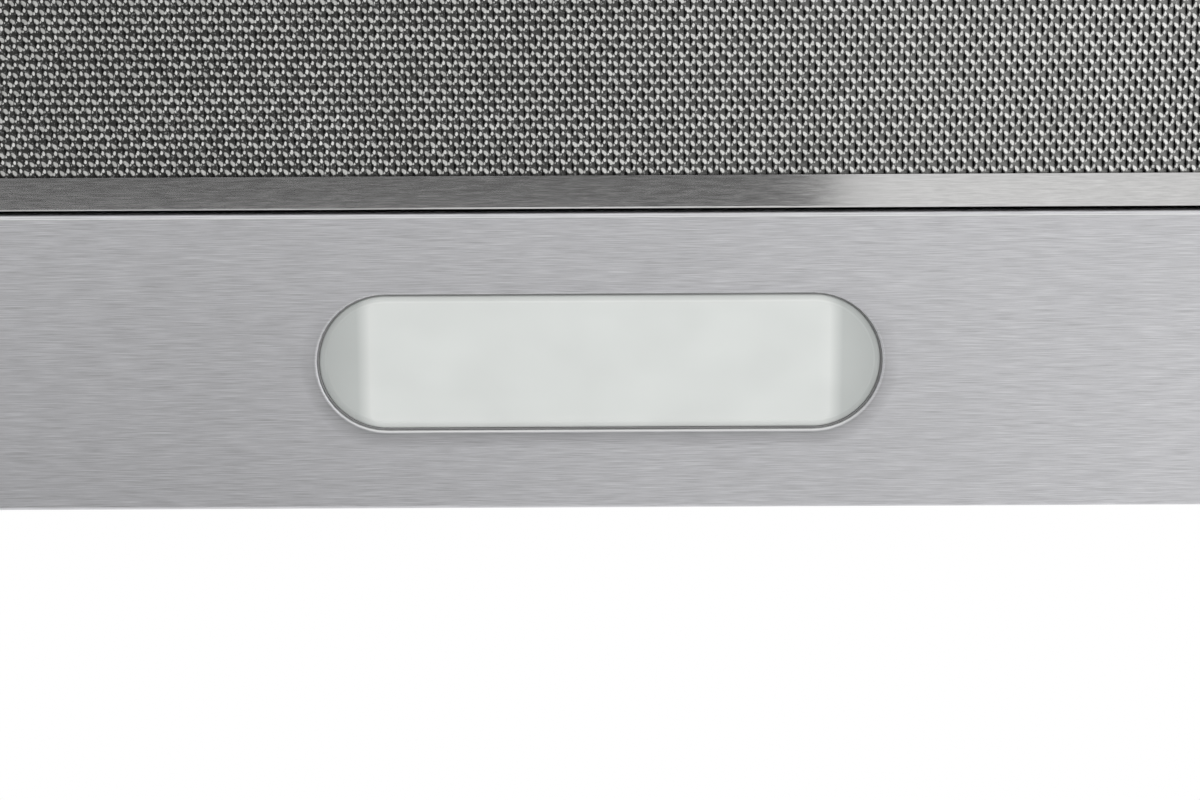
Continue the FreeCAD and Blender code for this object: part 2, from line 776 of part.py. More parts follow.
def lamp_nuts():
    """Hexagon nuts that clamp the housing's ears."""
    nuts = []
    low = lamp_box_z + lamp_box_wall
    for s in (-1, 1):
        x = s * lamp_stud_x()
        turns = [math.radians(60 * i) for i in range(6)]
        middle = Vector(x, strip_middle_y, low)
        corners = [middle + Vector(math.cos(a), math.sin(a), 0) * lamp_nut_radius for a in turns]
        nut = polygon_face(corners).extrude(Vector(0, 0, lamp_nut_height))
        nuts.append(nut.cut(rod_z(x, strip_middle_y, low, low + lamp_nut_height, lamp_stud_radius)))
    return nuts


def led_board():
    """Metal-backed strip that carries the light-emitting chips."""
    x, y = led_board_length / 2, led_board_width / 2
    low = lamp_box_top_z - led_board_thickness
    return slab(-x, x, strip_middle_y - y, strip_middle_y + y, low, lamp_box_top_z)


def led_chips():
    """Row of chips under the board."""
    step = led_board_length / led_count
    top = lamp_box_top_z - led_board_thickness
    half = led_side / 2
    places = [-led_board_length / 2 + step * (i + 0.5) for i in range(led_count)]
    front, rear = strip_middle_y - half, strip_middle_y + half
    return [slab(x - half, x + half, front, rear, top - led_height, top) for x in places]


def button_places():
    """Middle of each button along the front strip."""
    first = button_place - button_pitch * (button_count - 1) / 2
    return [first + button_pitch * i for i in range(button_count)]


def bezel_body_top():
    """Height of the bezel's back face."""
    return under_z + bezel_body_height


def button_bezel():
    """Moulded surround of the buttons: a flange under the panel and a body through it."""
    low = under_z - bezel_thickness
    flange = stadium(button_place, strip_middle_y, bezel_length, bezel_width, low, under_z)
    flange = flange.makeFillet(bezel_edge_radius, edges_at_height(flange, low))
    length, width = bezel_length - 2 * bezel_border, bezel_width - 2 * bezel_border
    body = stadium(button_place, strip_middle_y, length, width,
                   low + bezel_edge_radius, bezel_body_top())
    bezel = joined([flange, body])
    x, y = button_width / 2 + button_gap, button_length / 2 + button_gap
    for place in button_places():
        bezel = bezel.cut(round_slab(place - x, place + x, strip_middle_y - y, strip_middle_y + y, low,
                                     bezel_body_top(), button_corner))
    return bezel


def button(place):
    """Push button: a rounded cap, a shoulder that keeps it in the bezel and a stem to its switch."""
    x, y = button_width / 2, button_length / 2
    face = under_z - bezel_thickness - button_stand
    shoulder = bezel_body_top() + button_gap
    top = shoulder + button_shoulder_height
    cap = round_slab(place - x, place + x, strip_middle_y - y, strip_middle_y + y, face, top, button_corner)
    cap = cap.makeFillet(button_shoulder, edges_at_height(cap, face))
    s = button_shoulder
    collar = slab(place - x - s, place + x + s, strip_middle_y - y - s, strip_middle_y + y + s, shoulder, top)
    stem = rod_z(place, strip_middle_y, top, top + button_stem_height, button_stem_radius)
    return joined([cap, collar, stem])


def switch_floor():
    """Height of the switch block's lower face, just past the pressed buttons."""
    stem_top = bezel_body_top() + button_gap + button_shoulder_height + button_stem_height
    return stem_top + button_travel + button_stop_gap


def switch_block():
    """Block of linked push switches on two legs that stand on the panel."""
    x, y = bezel_length / 2, switch_width / 2
    low = switch_floor()
    left, right = button_place - x - switch_leg, button_place + x + switch_leg
    block = slab(left, right, strip_middle_y - y, strip_middle_y + y, low, low + switch_height)
    legs = [slab(start, start + switch_leg, strip_middle_y - y, strip_middle_y + y, floor_z, low)
            for start in (left, right - switch_leg)]
    return joined([block, *legs])


def scroll_outline(grow):
    """Side view of the scroll's air space, grown outwards by a wall: three quarter arcs, each a step
    larger than the last, then the straight mouth up to the top plate."""
    a = scroll_step
    y1, z1 = wheel_y + a / 2, wheel_z - a / 2
    r = scroll_start_radius + grow
    start = math.asin(grow / r)
    half = math.radians(45)
    tongue = Vector(0, y1 + grow, z1 + r * math.cos(start))
    rear = Vector(0, y1 + r, z1)
    low = Vector(0, y1 - a, z1 - r - a)
    front = Vector(0, y1 - a - r - 2 * a, z1 + a)
    turn = (start + math.radians(90)) / 2
    arcs = [
        (tongue, Vector(0, y1 + r * math.sin(turn), z1 + r * math.cos(turn)), rear),
        (rear, Vector(0, y1 - a + (r + a) * math.cos(half), z1 - (r + a) * math.sin(half)), low),
        (low, Vector(0, y1 - a - (r + 2 * a) * math.cos(half), z1 + a - (r + 2 * a) * math.sin(half)), front),
    ]
    mouth = [front, Vector(0, front.y, scroll_top_z), Vector(0, tongue.y, scroll_top_z), tongue]
    edges = [Part.Arc(*points).toShape() for points in arcs]
    edges += [Part.LineSegment(p, q).toShape() for p, q in zip(mouth, mouth[1:])]
    return Part.Face(Part.Wire(edges))


def inlet_lip_ring(side):
    """Rounded bell mouth round the inlet, on the outside of the side wall."""
    r = inlet_lip
    x = side * scroll_outer_x
    inner = inlet_radius
    bow = r * math.sqrt(along_share)
    profile = Part.Wire([
        Part.LineSegment(Vector(x, inner, 0), Vector(x, inner + r, 0)).toShape(),
        Part.Arc(Vector(x, inner + r, 0), Vector(x + side * bow, inner + bow, 0),
                 Vector(x + side * r, inner, 0)).toShape(),
        Part.LineSegment(Vector(x + side * r, inner, 0), Vector(x, inner, 0)).toShape(),
    ])
    ring = Part.Face(profile).revolve(Vector(0, 0, 0), Vector(1, 0, 0), 360)
    ring.translate(Vector(0, wheel_y, wheel_z))
    return ring


def scroll_half(side):
    """One moulded half of the scroll: side wall with bell mouth, wrap wall, seam rib and hanging flange."""
    pieces = []
    for grow, depth in ((scroll_wall, scroll_outer_x), (scroll_wall + scroll_seam, scroll_wall)):
        pieces.append(scroll_outline(grow).extrude(Vector(side * depth, 0, 0)))
    low = scroll_top_z - scroll_flange_thickness
    f = scroll_flange_half
    pieces.append(slab(min(0, side * f), max(0, side * f), -f, f, low, scroll_top_z))
    half = joined([*pieces, inlet_lip_ring(side)])
    half = half.cut(scroll_outline(0).extrude(Vector(side * scroll_x, 0, 0)))
    far = side * (scroll_outer_x + inlet_lip)
    half = half.cut(rod_x(min(0, far), max(0, far), wheel_y, wheel_z, inlet_radius))
    for place in collar_screws():
        half = half.cut(rod_z(*place, low, scroll_top_z, screw_radius + screw_gap))
    return half.removeSplitter()


def blade():
    """One forward-curved blade, bowed between its inner and outer edges, along the whole wheel."""
    inner = wheel_inner_radius
    outer = wheel_radius - wheel_ring_width * blade_tip_share
    sweep = math.radians(blade_sweep_deg)
    p = Vector(0, inner, 0)
    q = Vector(0, outer * math.cos(sweep), outer * math.sin(sweep))
    along = (q - p).normalize()
    across = Vector(1, 0, 0).cross(along)
    middle = p + (q - p) * along_share - across * blade_bow
    t = across * blade_thickness
    edges = [
        Part.Arc(p, middle, q).toShape(),
        Part.LineSegment(q, q + t).toShape(),
        Part.Arc(q + t, middle + t, p + t).toShape(),
        Part.LineSegment(p + t, p).toShape(),
    ]
    face = Part.Face(Part.Wire(edges))
    face.translate(Vector(-wheel_width / 2, 0, 0))
    return face.extrude(Vector(wheel_width, 0, 0))


def impeller():
    """Double-inlet wheel: middle plate with hub, two end rings and the blades through all three."""
    half = wheel_width / 2
    plate = rod_x(-wheel_plate / 2, wheel_plate / 2, 0, 0, wheel_radius)
    hub = rod_x(-wheel_plate / 2, hub_length, 0, 0, hub_radius)
    rings = []
    for x in (-half, half - wheel_plate):
        ring = rod_x(x, x + wheel_plate, 0, 0, wheel_radius)
        rings.append(ring.cut(rod_x(x, x + wheel_plate, 0, 0, wheel_radius - wheel_ring_width)))
    blades = []
    one = blade()
    for i in range(blade_count):
        copy = one.copy()
        copy.rotate(Vector(0, 0, 0), Vector(1, 0, 0), 360 * i / blade_count)
        blades.append(copy)
    wheel = joined([plate, hub, *rings, *blades])
    wheel = wheel.cut(rod_x(-half, half, 0, 0, shaft_radius))
    wheel.translate(Vector(0, wheel_y, wheel_z))
    return wheel


def motor_body():
    """Ribbed motor can with chamfered ends and a boss at its outer end, bored for shaft and bearings."""
    can = rod_x(motor_left_x, motor_right_x, 0, 0, motor_radius)
    can = can.makeChamfer(motor_chamfer, [e for e in can.Edges if e.Closed])
    ribs = []
    for i in range(motor_rib_count):
        rib = slab(motor_left_x + motor_chamfer, motor_right_x - motor_chamfer,
                   -motor_rib_width / 2, motor_rib_width / 2,
                   motor_radius - motor_rib_height, motor_radius + motor_rib_height)
        rib.rotate(Vector(0, 0, 0), Vector(1, 0, 0), 360 * i / motor_rib_count)
        ribs.append(rib)
    boss = rod_x(motor_end_x, motor_left_x, 0, 0, motor_boss_radius)
    motor = joined([can, boss, *ribs])
    motor = motor.cut(rod_x(shaft_end_x - shaft_gap, motor_right_x, 0, 0, shaft_radius + shaft_gap))
    for x in bearing_places():
        motor = motor.cut(rod_x(x, x + bearing_length, 0, 0, bearing_radius))
    motor.translate(Vector(0, wheel_y, wheel_z))
    return motor


def bearing_places():
    """Left face of each motor bearing."""
    return [motor_left_x, motor_right_x - bearing_length]


def motor_bearings():
    """Two plain bushes in the motor, each running on the shaft."""
    rings = []
    for x in bearing_places():
        ring = rod_x(x, x + bearing_length, wheel_y, wheel_z, bearing_radius)
        rings.append(ring.cut(rod_x(x, x + bearing_length, wheel_y, wheel_z, shaft_radius + running_gap)))
    return rings


def motor_shaft():
    """Shaft from just past the motor's outer bearing to the end of the wheel's hub."""
    return rod_x(shaft_end_x, hub_length, wheel_y, wheel_z, shaft_radius)


def spider_angles():
    """Direction of each arm that carries the motor, the first one straight up."""
    return [360 * i / spider_arms for i in range(spider_arms)]


def motor_spider():
    """Ring on the motor's boss with arms out to the grommets on the scroll."""
    x1 = spider_x
    x0 = x1 - spider_sheet
    ring = rod_x(x0, x1, 0, 0, spider_ring_radius)
    arms = []
    for angle in spider_angles():
        arm = slab(x0, x1, -spider_arm_width / 2, spider_arm_width / 2, 0, spider_foot_radius)
        foot = rod_x(x0, x1, 0, spider_foot_radius, spider_arm_width / 2)
        arm = arm.fuse(foot).cut(rod_x(x0, x1, 0, spider_foot_radius, screw_radius))
        arm.rotate(Vector(0, 0, 0), Vector(1, 0, 0), angle)
        arms.append(arm)
    spider = joined([ring, *arms]).cut(rod_x(x0, x1, 0, 0, motor_boss_radius))
    spider.translate(Vector(0, wheel_y, wheel_z))
    return spider


def motor_grommets():
    """Rubber bushes that stand the spider off the scroll's side wall."""
    bushes = []
    for angle in spider_angles():
        bush = rod_x(spider_x, -scroll_outer_x, 0, spider_foot_radius, grommet_radius)
        bush.rotate(Vector(0, 0, 0), Vector(1, 0, 0), angle)
        bush.translate(Vector(0, wheel_y, wheel_z))
        bushes.append(bush)
    return bushes


def outlet_collar():
    """Moulded duct spigot with a screw flange, a gripping bead and an inner seat for the flaps."""
    base, top = collar_base_z, collar_top_z
    tube = rod_z(0, 0, base, top, collar_radius)
    flange = rod_z(0, 0, base, base + collar_flange_thickness, collar_flange_radius)
    bore = rod_z(0, 0, base, top, collar_bore)
    seat_low = flap_seat_z - flap_seat_thickness
    seat = rod_z(0, 0, seat_low, flap_seat_z, collar_bore)
    seat = seat.cut(rod_z(0, 0, seat_low, flap_seat_z, collar_bore - flap_seat_width))
    collar = joined([tube, flange]).cut(bore)
    collar = joined([collar, seat])
    collar = collar.cut(rod_x(-collar_radius, collar_radius, 0, flap_pin_z, flap_pin_radius))
    for place in collar_screws():
        collar = collar.cut(rod_z(*place, base, base + collar_flange_thickness, screw_radius + screw_gap))
    return collar


def flap_pin():
    """Steel pin across the collar that both flaps turn on."""
    return rod_x(-collar_radius, collar_radius, 0, flap_pin_z, flap_pin_radius)


def damper_flap(side):
    """Half-round flap with two knuckles on the pin; the other flap's knuckles sit between them."""
    low = flap_seat_z + flap_lift
    radius = collar_bore - flap_edge_gap
    clear = flap_knuckle_radius + flap_knuckle_gap
    disc = rod_z(0, 0, low, low + flap_thickness, radius)
    start, end = (clear, radius) if side > 0 else (-radius, -clear)
    plate = disc.common(slab(-radius, radius, start, end, low, low + flap_thickness))
    pieces = [plate]
    half = flap_knuckle_length / 2
    for share in flap_knuckle_shares:
        x = side * share * flap_knuckle_step
        knuckle = rod_x(x - half, x + half, 0, flap_pin_z, flap_knuckle_radius)
        web_start, web_end = (0, clear + flap_thickness) if side > 0 else (-clear - flap_thickness, 0)
        web = slab(x - half, x + half, web_start, web_end, low, low + flap_thickness)
        pieces += [knuckle, web]
    flap = joined(pieces)
    return flap.cut(rod_x(-collar_radius, collar_radius, 0, flap_pin_z, flap_pin_radius + running_gap))


def terminal_corners():
    """Plan of the terminal box: its left, right, front and rear faces."""
    x, y = terminal_length / 2, terminal_width / 2
    return terminal_place_x - x, terminal_place_x + x, terminal_place_y - y, terminal_place_y + y


def terminal_box():
    """Moulded tray on the top plate that holds the terminals and the capacitor."""
    x0, x1, y0, y1 = terminal_corners()
    w = terminal_wall
    low, top = casing_height, terminal_top_z
    box = round_slab(x0, x1, y0, y1, low, top, terminal_corner)
    box = box.cut(round_slab(x0 + w, x1 - w, y0 + w, y1 - w, low + w, top, terminal_corner - w))
    for place in lead_holes().values():
        box = box.cut(rod_z(*place, casing_height, casing_height + w, lead_radius + lead_hole_gap))
    return box.cut(rod_x(x0, x0 + w, terminal_place_y, casing_height + gland_height, gland_radius - w))


def terminal_lid():
    """Lid with a rim that locates inside the terminal box."""
    x0, x1, y0, y1 = terminal_corners()
    w = terminal_wall + screw_gap
    low, seat = terminal_top_z - terminal_lid_rim, terminal_top_z
    top = seat + terminal_lid_thickness
    lid = round_slab(x0, x1, y0, y1, seat, top, terminal_corner)
    lid = lid.makeFillet(terminal_lid_thickness / 2, edges_at_height(lid, top))
    rim = round_slab(x0 + w, x1 - w, y0 + w, y1 - w, low, seat, terminal_corner - w)
    hollow = slab(x0 + 2 * w, x1 - 2 * w, y0 + 2 * w, y1 - 2 * w, low, seat)
    return joined([lid, rim.cut(hollow)])


def run_capacitor():
    """Motor capacitor lying on the terminal box floor."""
    z = casing_height + terminal_wall + capacitor_radius
    y = terminal_corners()[3] - terminal_wall - capacitor_radius - capacitor_edge
    x = terminal_place_x - capacitor_length / 2
    can = rod_x(x, x + capacitor_length, y, z, capacitor_radius)
    return can.makeFillet(capacitor_edge, [e for e in can.Edges if e.Closed])


def terminal_connector():
    """Screw connector block on the terminal box floor, behind the row of leads."""
    x = terminal_place_x
    front = wheel_y + 2 * lead_radius
    low = casing_height + terminal_wall
    half = connector_length / 2
    return slab(x - half, x + half, front, front + connector_width, low, low + connector_height)


def cable_gland():
    """Threaded entry for the supply cable, with its nut and bore."""
    x0 = terminal_corners()[0]
    y, z = terminal_place_y, casing_height + gland_height
    tip = x0 - gland_length
    body = rod_x(tip, x0, y, z, gland_radius)
    body = body.makeFillet(gland_round, [e for e in body.Edges if e.BoundBox.XMax < x0 - gland_nut_length])
    nut = rod_x(x0 - gland_nut_length, x0, y, z, gland_nut_radius)
    neck = rod_x(x0, x0 + terminal_wall, y, z, gland_radius - terminal_wall)
    return joined([body, nut, neck]).cut(rod_x(tip, x0 + terminal_wall, y, z, gland_bore_radius))


def clip_rows():
    """Places of the cabinet clips along each side wall."""
    return [-clip_spacing / 2, clip_spacing / 2]


def clip_screw_height():
    """Height of the screw in a clip's tab."""
    return clip_top - clip_tab / 2


def cabinet_clip(side, y):
    """Leaf spring that snaps out over the cabinet floor."""
    x, t = casing_x, clip_sheet
    bend = clip_top - clip_tab
    outer = [
        Vector(x, 0, clip_top), Vector(x + t, 0, clip_top), Vector(x + t, 0, bend),
        Vector(x + clip_out + t, 0, clip_floor + clip_hook), Vector(x + t, 0, clip_floor),
        Vector(x, 0, clip_floor), Vector(x, 0, clip_floor + t),
        Vector(x + clip_out - t, 0, clip_floor + clip_hook),
        Vector(x, 0, bend),
    ]
    profile = polygon_face([Vector(side * p.x, y - clip_width / 2, p.z) for p in outer])
    clip = profile.extrude(Vector(0, clip_width, 0))
    return clip.cut(rod_x(-x - overrun, x + overrun, y, clip_screw_height(), screw_radius + screw_gap))


def clip_screw(side, y):
    """Screw through a clip's tab into the casing wall."""
    screw = pan_screw(0, 0, 0, screw_length)
    screw.rotate(Vector(0, 0, 0), Vector(0, 1, 0), side * 90)
    screw.translate(Vector(side * (casing_x + clip_sheet), y, clip_screw_height()))
    return screw


def lead(points):
    """Round lead along straight runs joined by arcs of one bend radius."""
    edges = []
    start = points[0]
    for before, corner, after in zip(points, points[1:], points[2:]):
        u, v = (before - corner).normalize(), (after - corner).normalize()
        reach = lead_bend * math.tan((math.pi - u.getAngle(v)) / 2)
        bisector = (u + v).normalize()
        middle = corner + bisector * (math.hypot(lead_bend, reach) - lead_bend)
        a, b = corner + u * reach, corner + v * reach
        edges.append(Part.LineSegment(start, a).toShape())
        edges.append(Part.Arc(a, middle, b).toShape())
        start = b
    edges.append(Part.LineSegment(start, points[-1]).toShape())
    section = Part.Wire(Part.makeCircle(lead_radius, points[0], points[1] - points[0]))
    return Part.Wire(edges).makePipeShell([section], True, False)


def lead_rise(x, z):
    """Run of a lead from the front compartment at height z up the casing and into the terminal box."""
    high = casing_top_z - 2 * lead_bend
    end = casing_height + terminal_wall + lead_radius
    front = [Vector(x, strip_middle_y, z), Vector(x, strip_middle_y, high)]
    return front + [Vector(x, wheel_y, high), Vector(x, wheel_y, end)]


def lamp_lead():
    """From the reflector box along the compartment, then up."""
    z = lamp_box_top_z - 2 * lead_radius
    start = Vector(-lamp_box_length / 2 - lamp_box_wall, strip_middle_y, z)
    return lead([start, *lead_rise(lead_holes()["lamp"][0], z)])


def switch_lead():
    """From the top of the switch block over the lamp, then up."""
    top = switch_floor() + switch_height
    z = top + lead_bend + lead_radius
    x = button_place - button_pitch
    rise = lead_rise(lead_holes()["switch"][0], z)
    return lead([Vector(x, strip_middle_y, top), Vector(x, strip_middle_y, z), *rise])


def motor_lead():
    """From the motor's boss out to the side and straight up into the terminal box."""
    x, y = lead_holes()["motor"]
    end = casing_height + terminal_wall + lead_radius
    return lead([Vector(motor_end_x, y, wheel_z), Vector(x, y, wheel_z), Vector(x, y, end)])


def main():
    """Builds every piece and writes it as its own node."""
    os.makedirs("parts", exist_ok=True)
    save("underside_panel", underside_panel())
    save("casing_body", casing_body())
    save("top_plate", top_plate())
    save("compartment_cover", compartment_cover())
    save("filter_ledge_left", filter_ledge(-1))
    save("filter_ledge_right", filter_ledge(1))
    save("top_plate_screws", *[pan_screw(x, y, casing_height, screw_length) for x, y in rim_screws()])
    save("filter_frame", filter_frame())
    save("filter_mesh_front", net(under_z + filter_sheet, mesh_columns, mesh_rows))
    save("filter_mesh_back", net(filter_top_z - filter_sheet - mesh_sheet, back_columns, back_rows))
    save("filter_core", pleated_core())
    save("filter_pivot_pins", pivot_pin(-1), pivot_pin(1))
    for name, side in (("left", -1), ("right", 1)):
        save(f"latch_cup_{name}", latch_cup(side))
        save(f"latch_slider_{name}", latch_slider(side))
        save(f"latch_spring_{name}", latch_spring(side))
        save(f"latch_keeper_{name}", latch_keeper(side))
        save(f"cabinet_clips_{name}", *[cabinet_clip(side, y) for y in clip_rows()])
        save(f"scroll_half_{name}", scroll_half(side))
    save("clip_screws", *[clip_screw(side, y) for side in (-1, 1) for y in clip_rows()])
    save("lamp_lens", lamp_lens())
    save("lamp_gasket", lamp_gasket())
    save("lamp_housing", lamp_housing())
    save("lamp_studs", *lamp_studs())
    save("lamp_nuts", *lamp_nuts())
    save("led_board", led_board())
    save("led_chips", *led_chips())
    save("button_bezel", button_bezel())
    names = ("off", "speed_1", "speed_2", "speed_3", "light")
    for name, place in zip(names, button_places()):
        save(f"button_{name}", button(place))
    save("switch_block", switch_block())
    save("impeller", impeller())
    save("motor_shaft", motor_shaft())
    save("motor_body", motor_body())
    save("motor_bearings", *motor_bearings())
    save("motor_spider", motor_spider())
    save("motor_grommets", *motor_grommets())
    save("outlet_collar", outlet_collar())
    collar_seat = collar_base_z + collar_flange_thickness
    save("collar_screws", *[pan_screw(x, y, collar_seat, screw_length) for x, y in collar_screws()])
    save("flap_pin", flap_pin())
    save("damper_flap_front", damper_flap(-1))
    save("damper_flap_rear", damper_flap(1))
    save("terminal_box", terminal_box())
    save("terminal_lid", terminal_lid())
    save("run_capacitor", run_capacitor())
    save("terminal_connector", terminal_connector())
    save("cable_gland", cable_gland())
    save("lamp_lead", lamp_lead())
    save("switch_lead", switch_lead())
    save("motor_lead", motor_lead())


main()
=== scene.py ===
import json
import math

import bmesh
import bpy
import numpy as np
from mathutils import Matrix, Vector


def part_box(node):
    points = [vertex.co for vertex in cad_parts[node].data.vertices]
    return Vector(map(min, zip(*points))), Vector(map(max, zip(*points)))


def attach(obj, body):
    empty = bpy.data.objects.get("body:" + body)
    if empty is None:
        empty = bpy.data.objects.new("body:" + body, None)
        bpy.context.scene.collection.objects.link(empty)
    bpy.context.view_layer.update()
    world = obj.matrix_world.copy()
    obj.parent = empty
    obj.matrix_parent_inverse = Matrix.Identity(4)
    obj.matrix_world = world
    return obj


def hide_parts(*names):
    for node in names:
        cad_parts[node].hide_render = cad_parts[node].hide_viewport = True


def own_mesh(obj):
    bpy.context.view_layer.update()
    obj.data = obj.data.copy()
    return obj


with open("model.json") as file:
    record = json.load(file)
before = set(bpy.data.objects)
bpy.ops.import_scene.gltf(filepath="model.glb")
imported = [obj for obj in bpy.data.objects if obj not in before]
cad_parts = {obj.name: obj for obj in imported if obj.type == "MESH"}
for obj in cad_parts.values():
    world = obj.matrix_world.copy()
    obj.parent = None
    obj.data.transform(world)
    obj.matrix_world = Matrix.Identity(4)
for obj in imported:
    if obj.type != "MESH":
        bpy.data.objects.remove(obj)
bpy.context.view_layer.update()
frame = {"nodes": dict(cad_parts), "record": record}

# Sizes in metres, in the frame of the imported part: +Z up, -Y towards the cook
MM = 0.001
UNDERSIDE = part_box("underside_panel")[0].z
FILTER_LOW, FILTER_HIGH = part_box("filter_frame")
MESH_LOW, MESH_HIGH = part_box("filter_mesh_front")
LENS_LOW, LENS_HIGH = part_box("lamp_lens")
LENS_Y = (LENS_LOW.y + LENS_HIGH.y) / 2
CUP_LOW, CUP_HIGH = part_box("latch_cup_right")

# Expanded mesh: a strand zigzags along Y and meets its neighbours at the bonds
STRAND_PITCH = 1.93 * MM
BOND_PITCH = 2.89 * MM
BOND_LENGTH = 0.9 * MM
STRAND_WIDTH = 1.75 * MM
STRAND_SHEET = 0.22 * MM
STRAND_TILT = math.radians(15.0)
CUP_CLEAR = 1.0 * MM
LAYER_DEPTH = 1.65 * MM
LAYER_STEP = 2.0 * MM

# Painted light and shade on the mesh: a tongue painted as a lit face, a glint and a speck as painted
# highlights, a slit painted dark as shade; place in strand and bond pitches, shares of three waves,
# levels of start and full
LIT_TONGUE = ((-0.36, -0.60), (0.15, 0.55, 0.30), (0.34, 0.54))
PAINTED_GLINT = ((0.54, -0.36), (0.5, 0.5, 0.0), (0.68, 0.78))
PAINTED_SPECK = ((0.93, -0.71), (0.5, 0.5, 0.0), (0.88, 0.95))
SLIT_SHADE = ((0.86, -0.02), (0.5, 0.5, -0.15), (0.50, 0.66))
RAGGED = 0.15

# Painted shade of the metal between the marks and painted light of the tongues, from +X over the middle
# to -X, painted lighter towards -X as if lit from that side; the reach of that change; colours of the
# painted glints and specks
SHADED_METAL = ((0.055, 0.055, 0.053), (0.085, 0.085, 0.083), (0.22, 0.22, 0.216))
LIT_METAL = ((0.64, 0.64, 0.63), (0.70, 0.70, 0.69), (0.86, 0.86, 0.85))
LIT_SIDE_REACH = 130.0 * MM
GLINT_COLOUR = (1.0, 1.0, 0.99)
SPECK_COLOUR = (0.94, 0.94, 0.93)

# Underside panel: the line of the fold along the filter opening, where a highlight is painted, and the
# drawn rim of the lamp hole, with a painted highlight and painted shade round it
FOLD_GAP = 2.6 * MM
FOLD_Y = FILTER_LOW.y - FOLD_GAP
FOLD_HALF = 0.42 * MM
HOLE_END = 94.0 * MM
HOLE_RADIUS = 23.0 * MM
RIM_REACH = 6.0 * MM

# Bowed leaf springs behind the latch sliders
LEAF_SHEET = 0.5 * MM
LEAF_STATIONS = 33

# Lamp glass and its seal, in mm: rings by their inset from the glass's outline and height above its face
FLANGE = 4.55
SEAT = 3.4
BACK = 5.4
GLASS_FACE = ((2.6, 0.0), (2.35, 0.01), (1.95, 0.19), (1.8, 0.2), (0.75, 0.23), (0.4, 0.33), (0.12, 0.6),
              (0.0, 1.0))
GLASS_BACK = ((0.0, SEAT), (-FLANGE, SEAT), (-FLANGE, BACK))
SEAL_LIP = ((-0.55, 2.8), (-FLANGE, 2.8), (-FLANGE, SEAT), (-0.05, SEAT), (-0.05, 0.6), (-0.15, 0.42),
            (-0.3, 0.36), (-0.45, 0.42), (-0.55, 0.6))

# Lamp glass in metres: radius and end of its outline, and how its rings are made one surface
GLASS_RADIUS = (LENS_HIGH.y - LENS_LOW.y) / 2 - FLANGE * MM
GLASS_END = LENS_HIGH.x - FLANGE * MM
RING_STEPS = 128
JOIN_DISTANCE = 0.001 * MM
SHARP_ANGLE = math.radians(35.0)

# Painted light on the lamp glass: its middle painted bright over the reflector box as if lit through from
# behind, and a painted highlight as a light line inside its edge
BRIGHT_END = 78.6 * MM
BRIGHT_SIDE = 23.0 * MM
BRIGHT_CORNER = 6.0 * MM
BRIGHT_FADE = (-6.0 * MM, 14.0 * MM)
EDGE_REACH = 4.0 * MM

# Tints of the greys
NEUTRAL = (1.0, 1.0, 1.0)
COOL = (0.995, 0.995, 1.025)
WARM = (1.006, 1.0, 0.994)

# Brushed finishes: dark and light grey, roughness, streaks per metre, their height, tint, change of gloss
PANEL_STEEL = (0.45, 0.85, 0.42, (85.0, 8200.0, 8200.0), 0.006 * MM, COOL)
FILTER_BAND = (0.62, 0.82, 0.12, (160.0, 2600.0, 2600.0), 0.002 * MM, WARM, 0.02)
SPRING_STEEL = (0.38, 0.52, 0.32, (900.0, 60.0, 60.0), 0.006 * MM, WARM)

# Moulded and cast finishes: dark and light shade, roughness, grain per metre, its height, share of metal
MOULDED = {
    "white_plastic": ((0.76, 0.77, 0.76), (0.84, 0.84, 0.83), 0.45, 900.0, 0.02 * MM),
    "black_plastic": ((0.018, 0.018, 0.019), (0.035, 0.035, 0.036), 0.5, 1200.0, 0.03 * MM),
    "grey_plastic": ((0.20, 0.205, 0.21), (0.26, 0.265, 0.27), 0.42, 1100.0, 0.02 * MM),
    "button_plastic": ((0.40, 0.41, 0.42), (0.47, 0.475, 0.48), 0.36, 1500.0, 0.012 * MM),
    "seal_rubber": ((0.03, 0.03, 0.03), (0.05, 0.05, 0.05), 0.75, 800.0, 0.03 * MM),
    "plain_steel": ((0.42, 0.42, 0.43), (0.58, 0.58, 0.58), 0.34, 700.0, 0.01 * MM, 1.0),
    "motor_metal": ((0.20, 0.205, 0.21), (0.32, 0.325, 0.33), 0.46, 600.0, 0.04 * MM, 0.8),
    "bearing_bronze": ((0.42, 0.27, 0.13), (0.55, 0.37, 0.19), 0.38, 900.0, 0.01 * MM, 1.0),
    "capacitor_can": ((0.64, 0.65, 0.66), (0.74, 0.75, 0.75), 0.4, 800.0, 0.01 * MM),
    "board_white": ((0.74, 0.76, 0.74), (0.82, 0.83, 0.81), 0.5, 1000.0, 0.01 * MM),
    "led_yellow": ((0.72, 0.55, 0.12), (0.82, 0.66, 0.2), 0.3, 1400.0, 0.01 * MM),
    "lead_sleeve": ((0.42, 0.43, 0.44), (0.5, 0.5, 0.51), 0.55, 700.0, 0.02 * MM),
}
# Inner layer of the filter's mesh, painted near black as the shade inside the filter
SHADED_INNER_STRAND = ((0.03, 0.03, 0.028), (0.05, 0.05, 0.047), 0.5, 600.0, 0.03 * MM, 0.8)
SEAL_GREY = ((0.28, 0.28, 0.28), (0.34, 0.34, 0.34), 0.6, 800.0, 0.02 * MM)
DARK_CARD = ((0.11, 0.11, 0.11), (0.13, 0.13, 0.13), 0.9, 60.0, 0.1 * MM)

# Camera, from the lines of the photograph
LENS_MM = 72.0
SENSOR_MM = 36.0
CLIP_RANGE = (0.01, 60.0)
VIEW_TILT = math.radians(11.8)
VIEW_ROLL = math.radians(0.28)
VIEW_DISTANCE = 0.8
VIEW_AIM_Y = -112.8 * MM

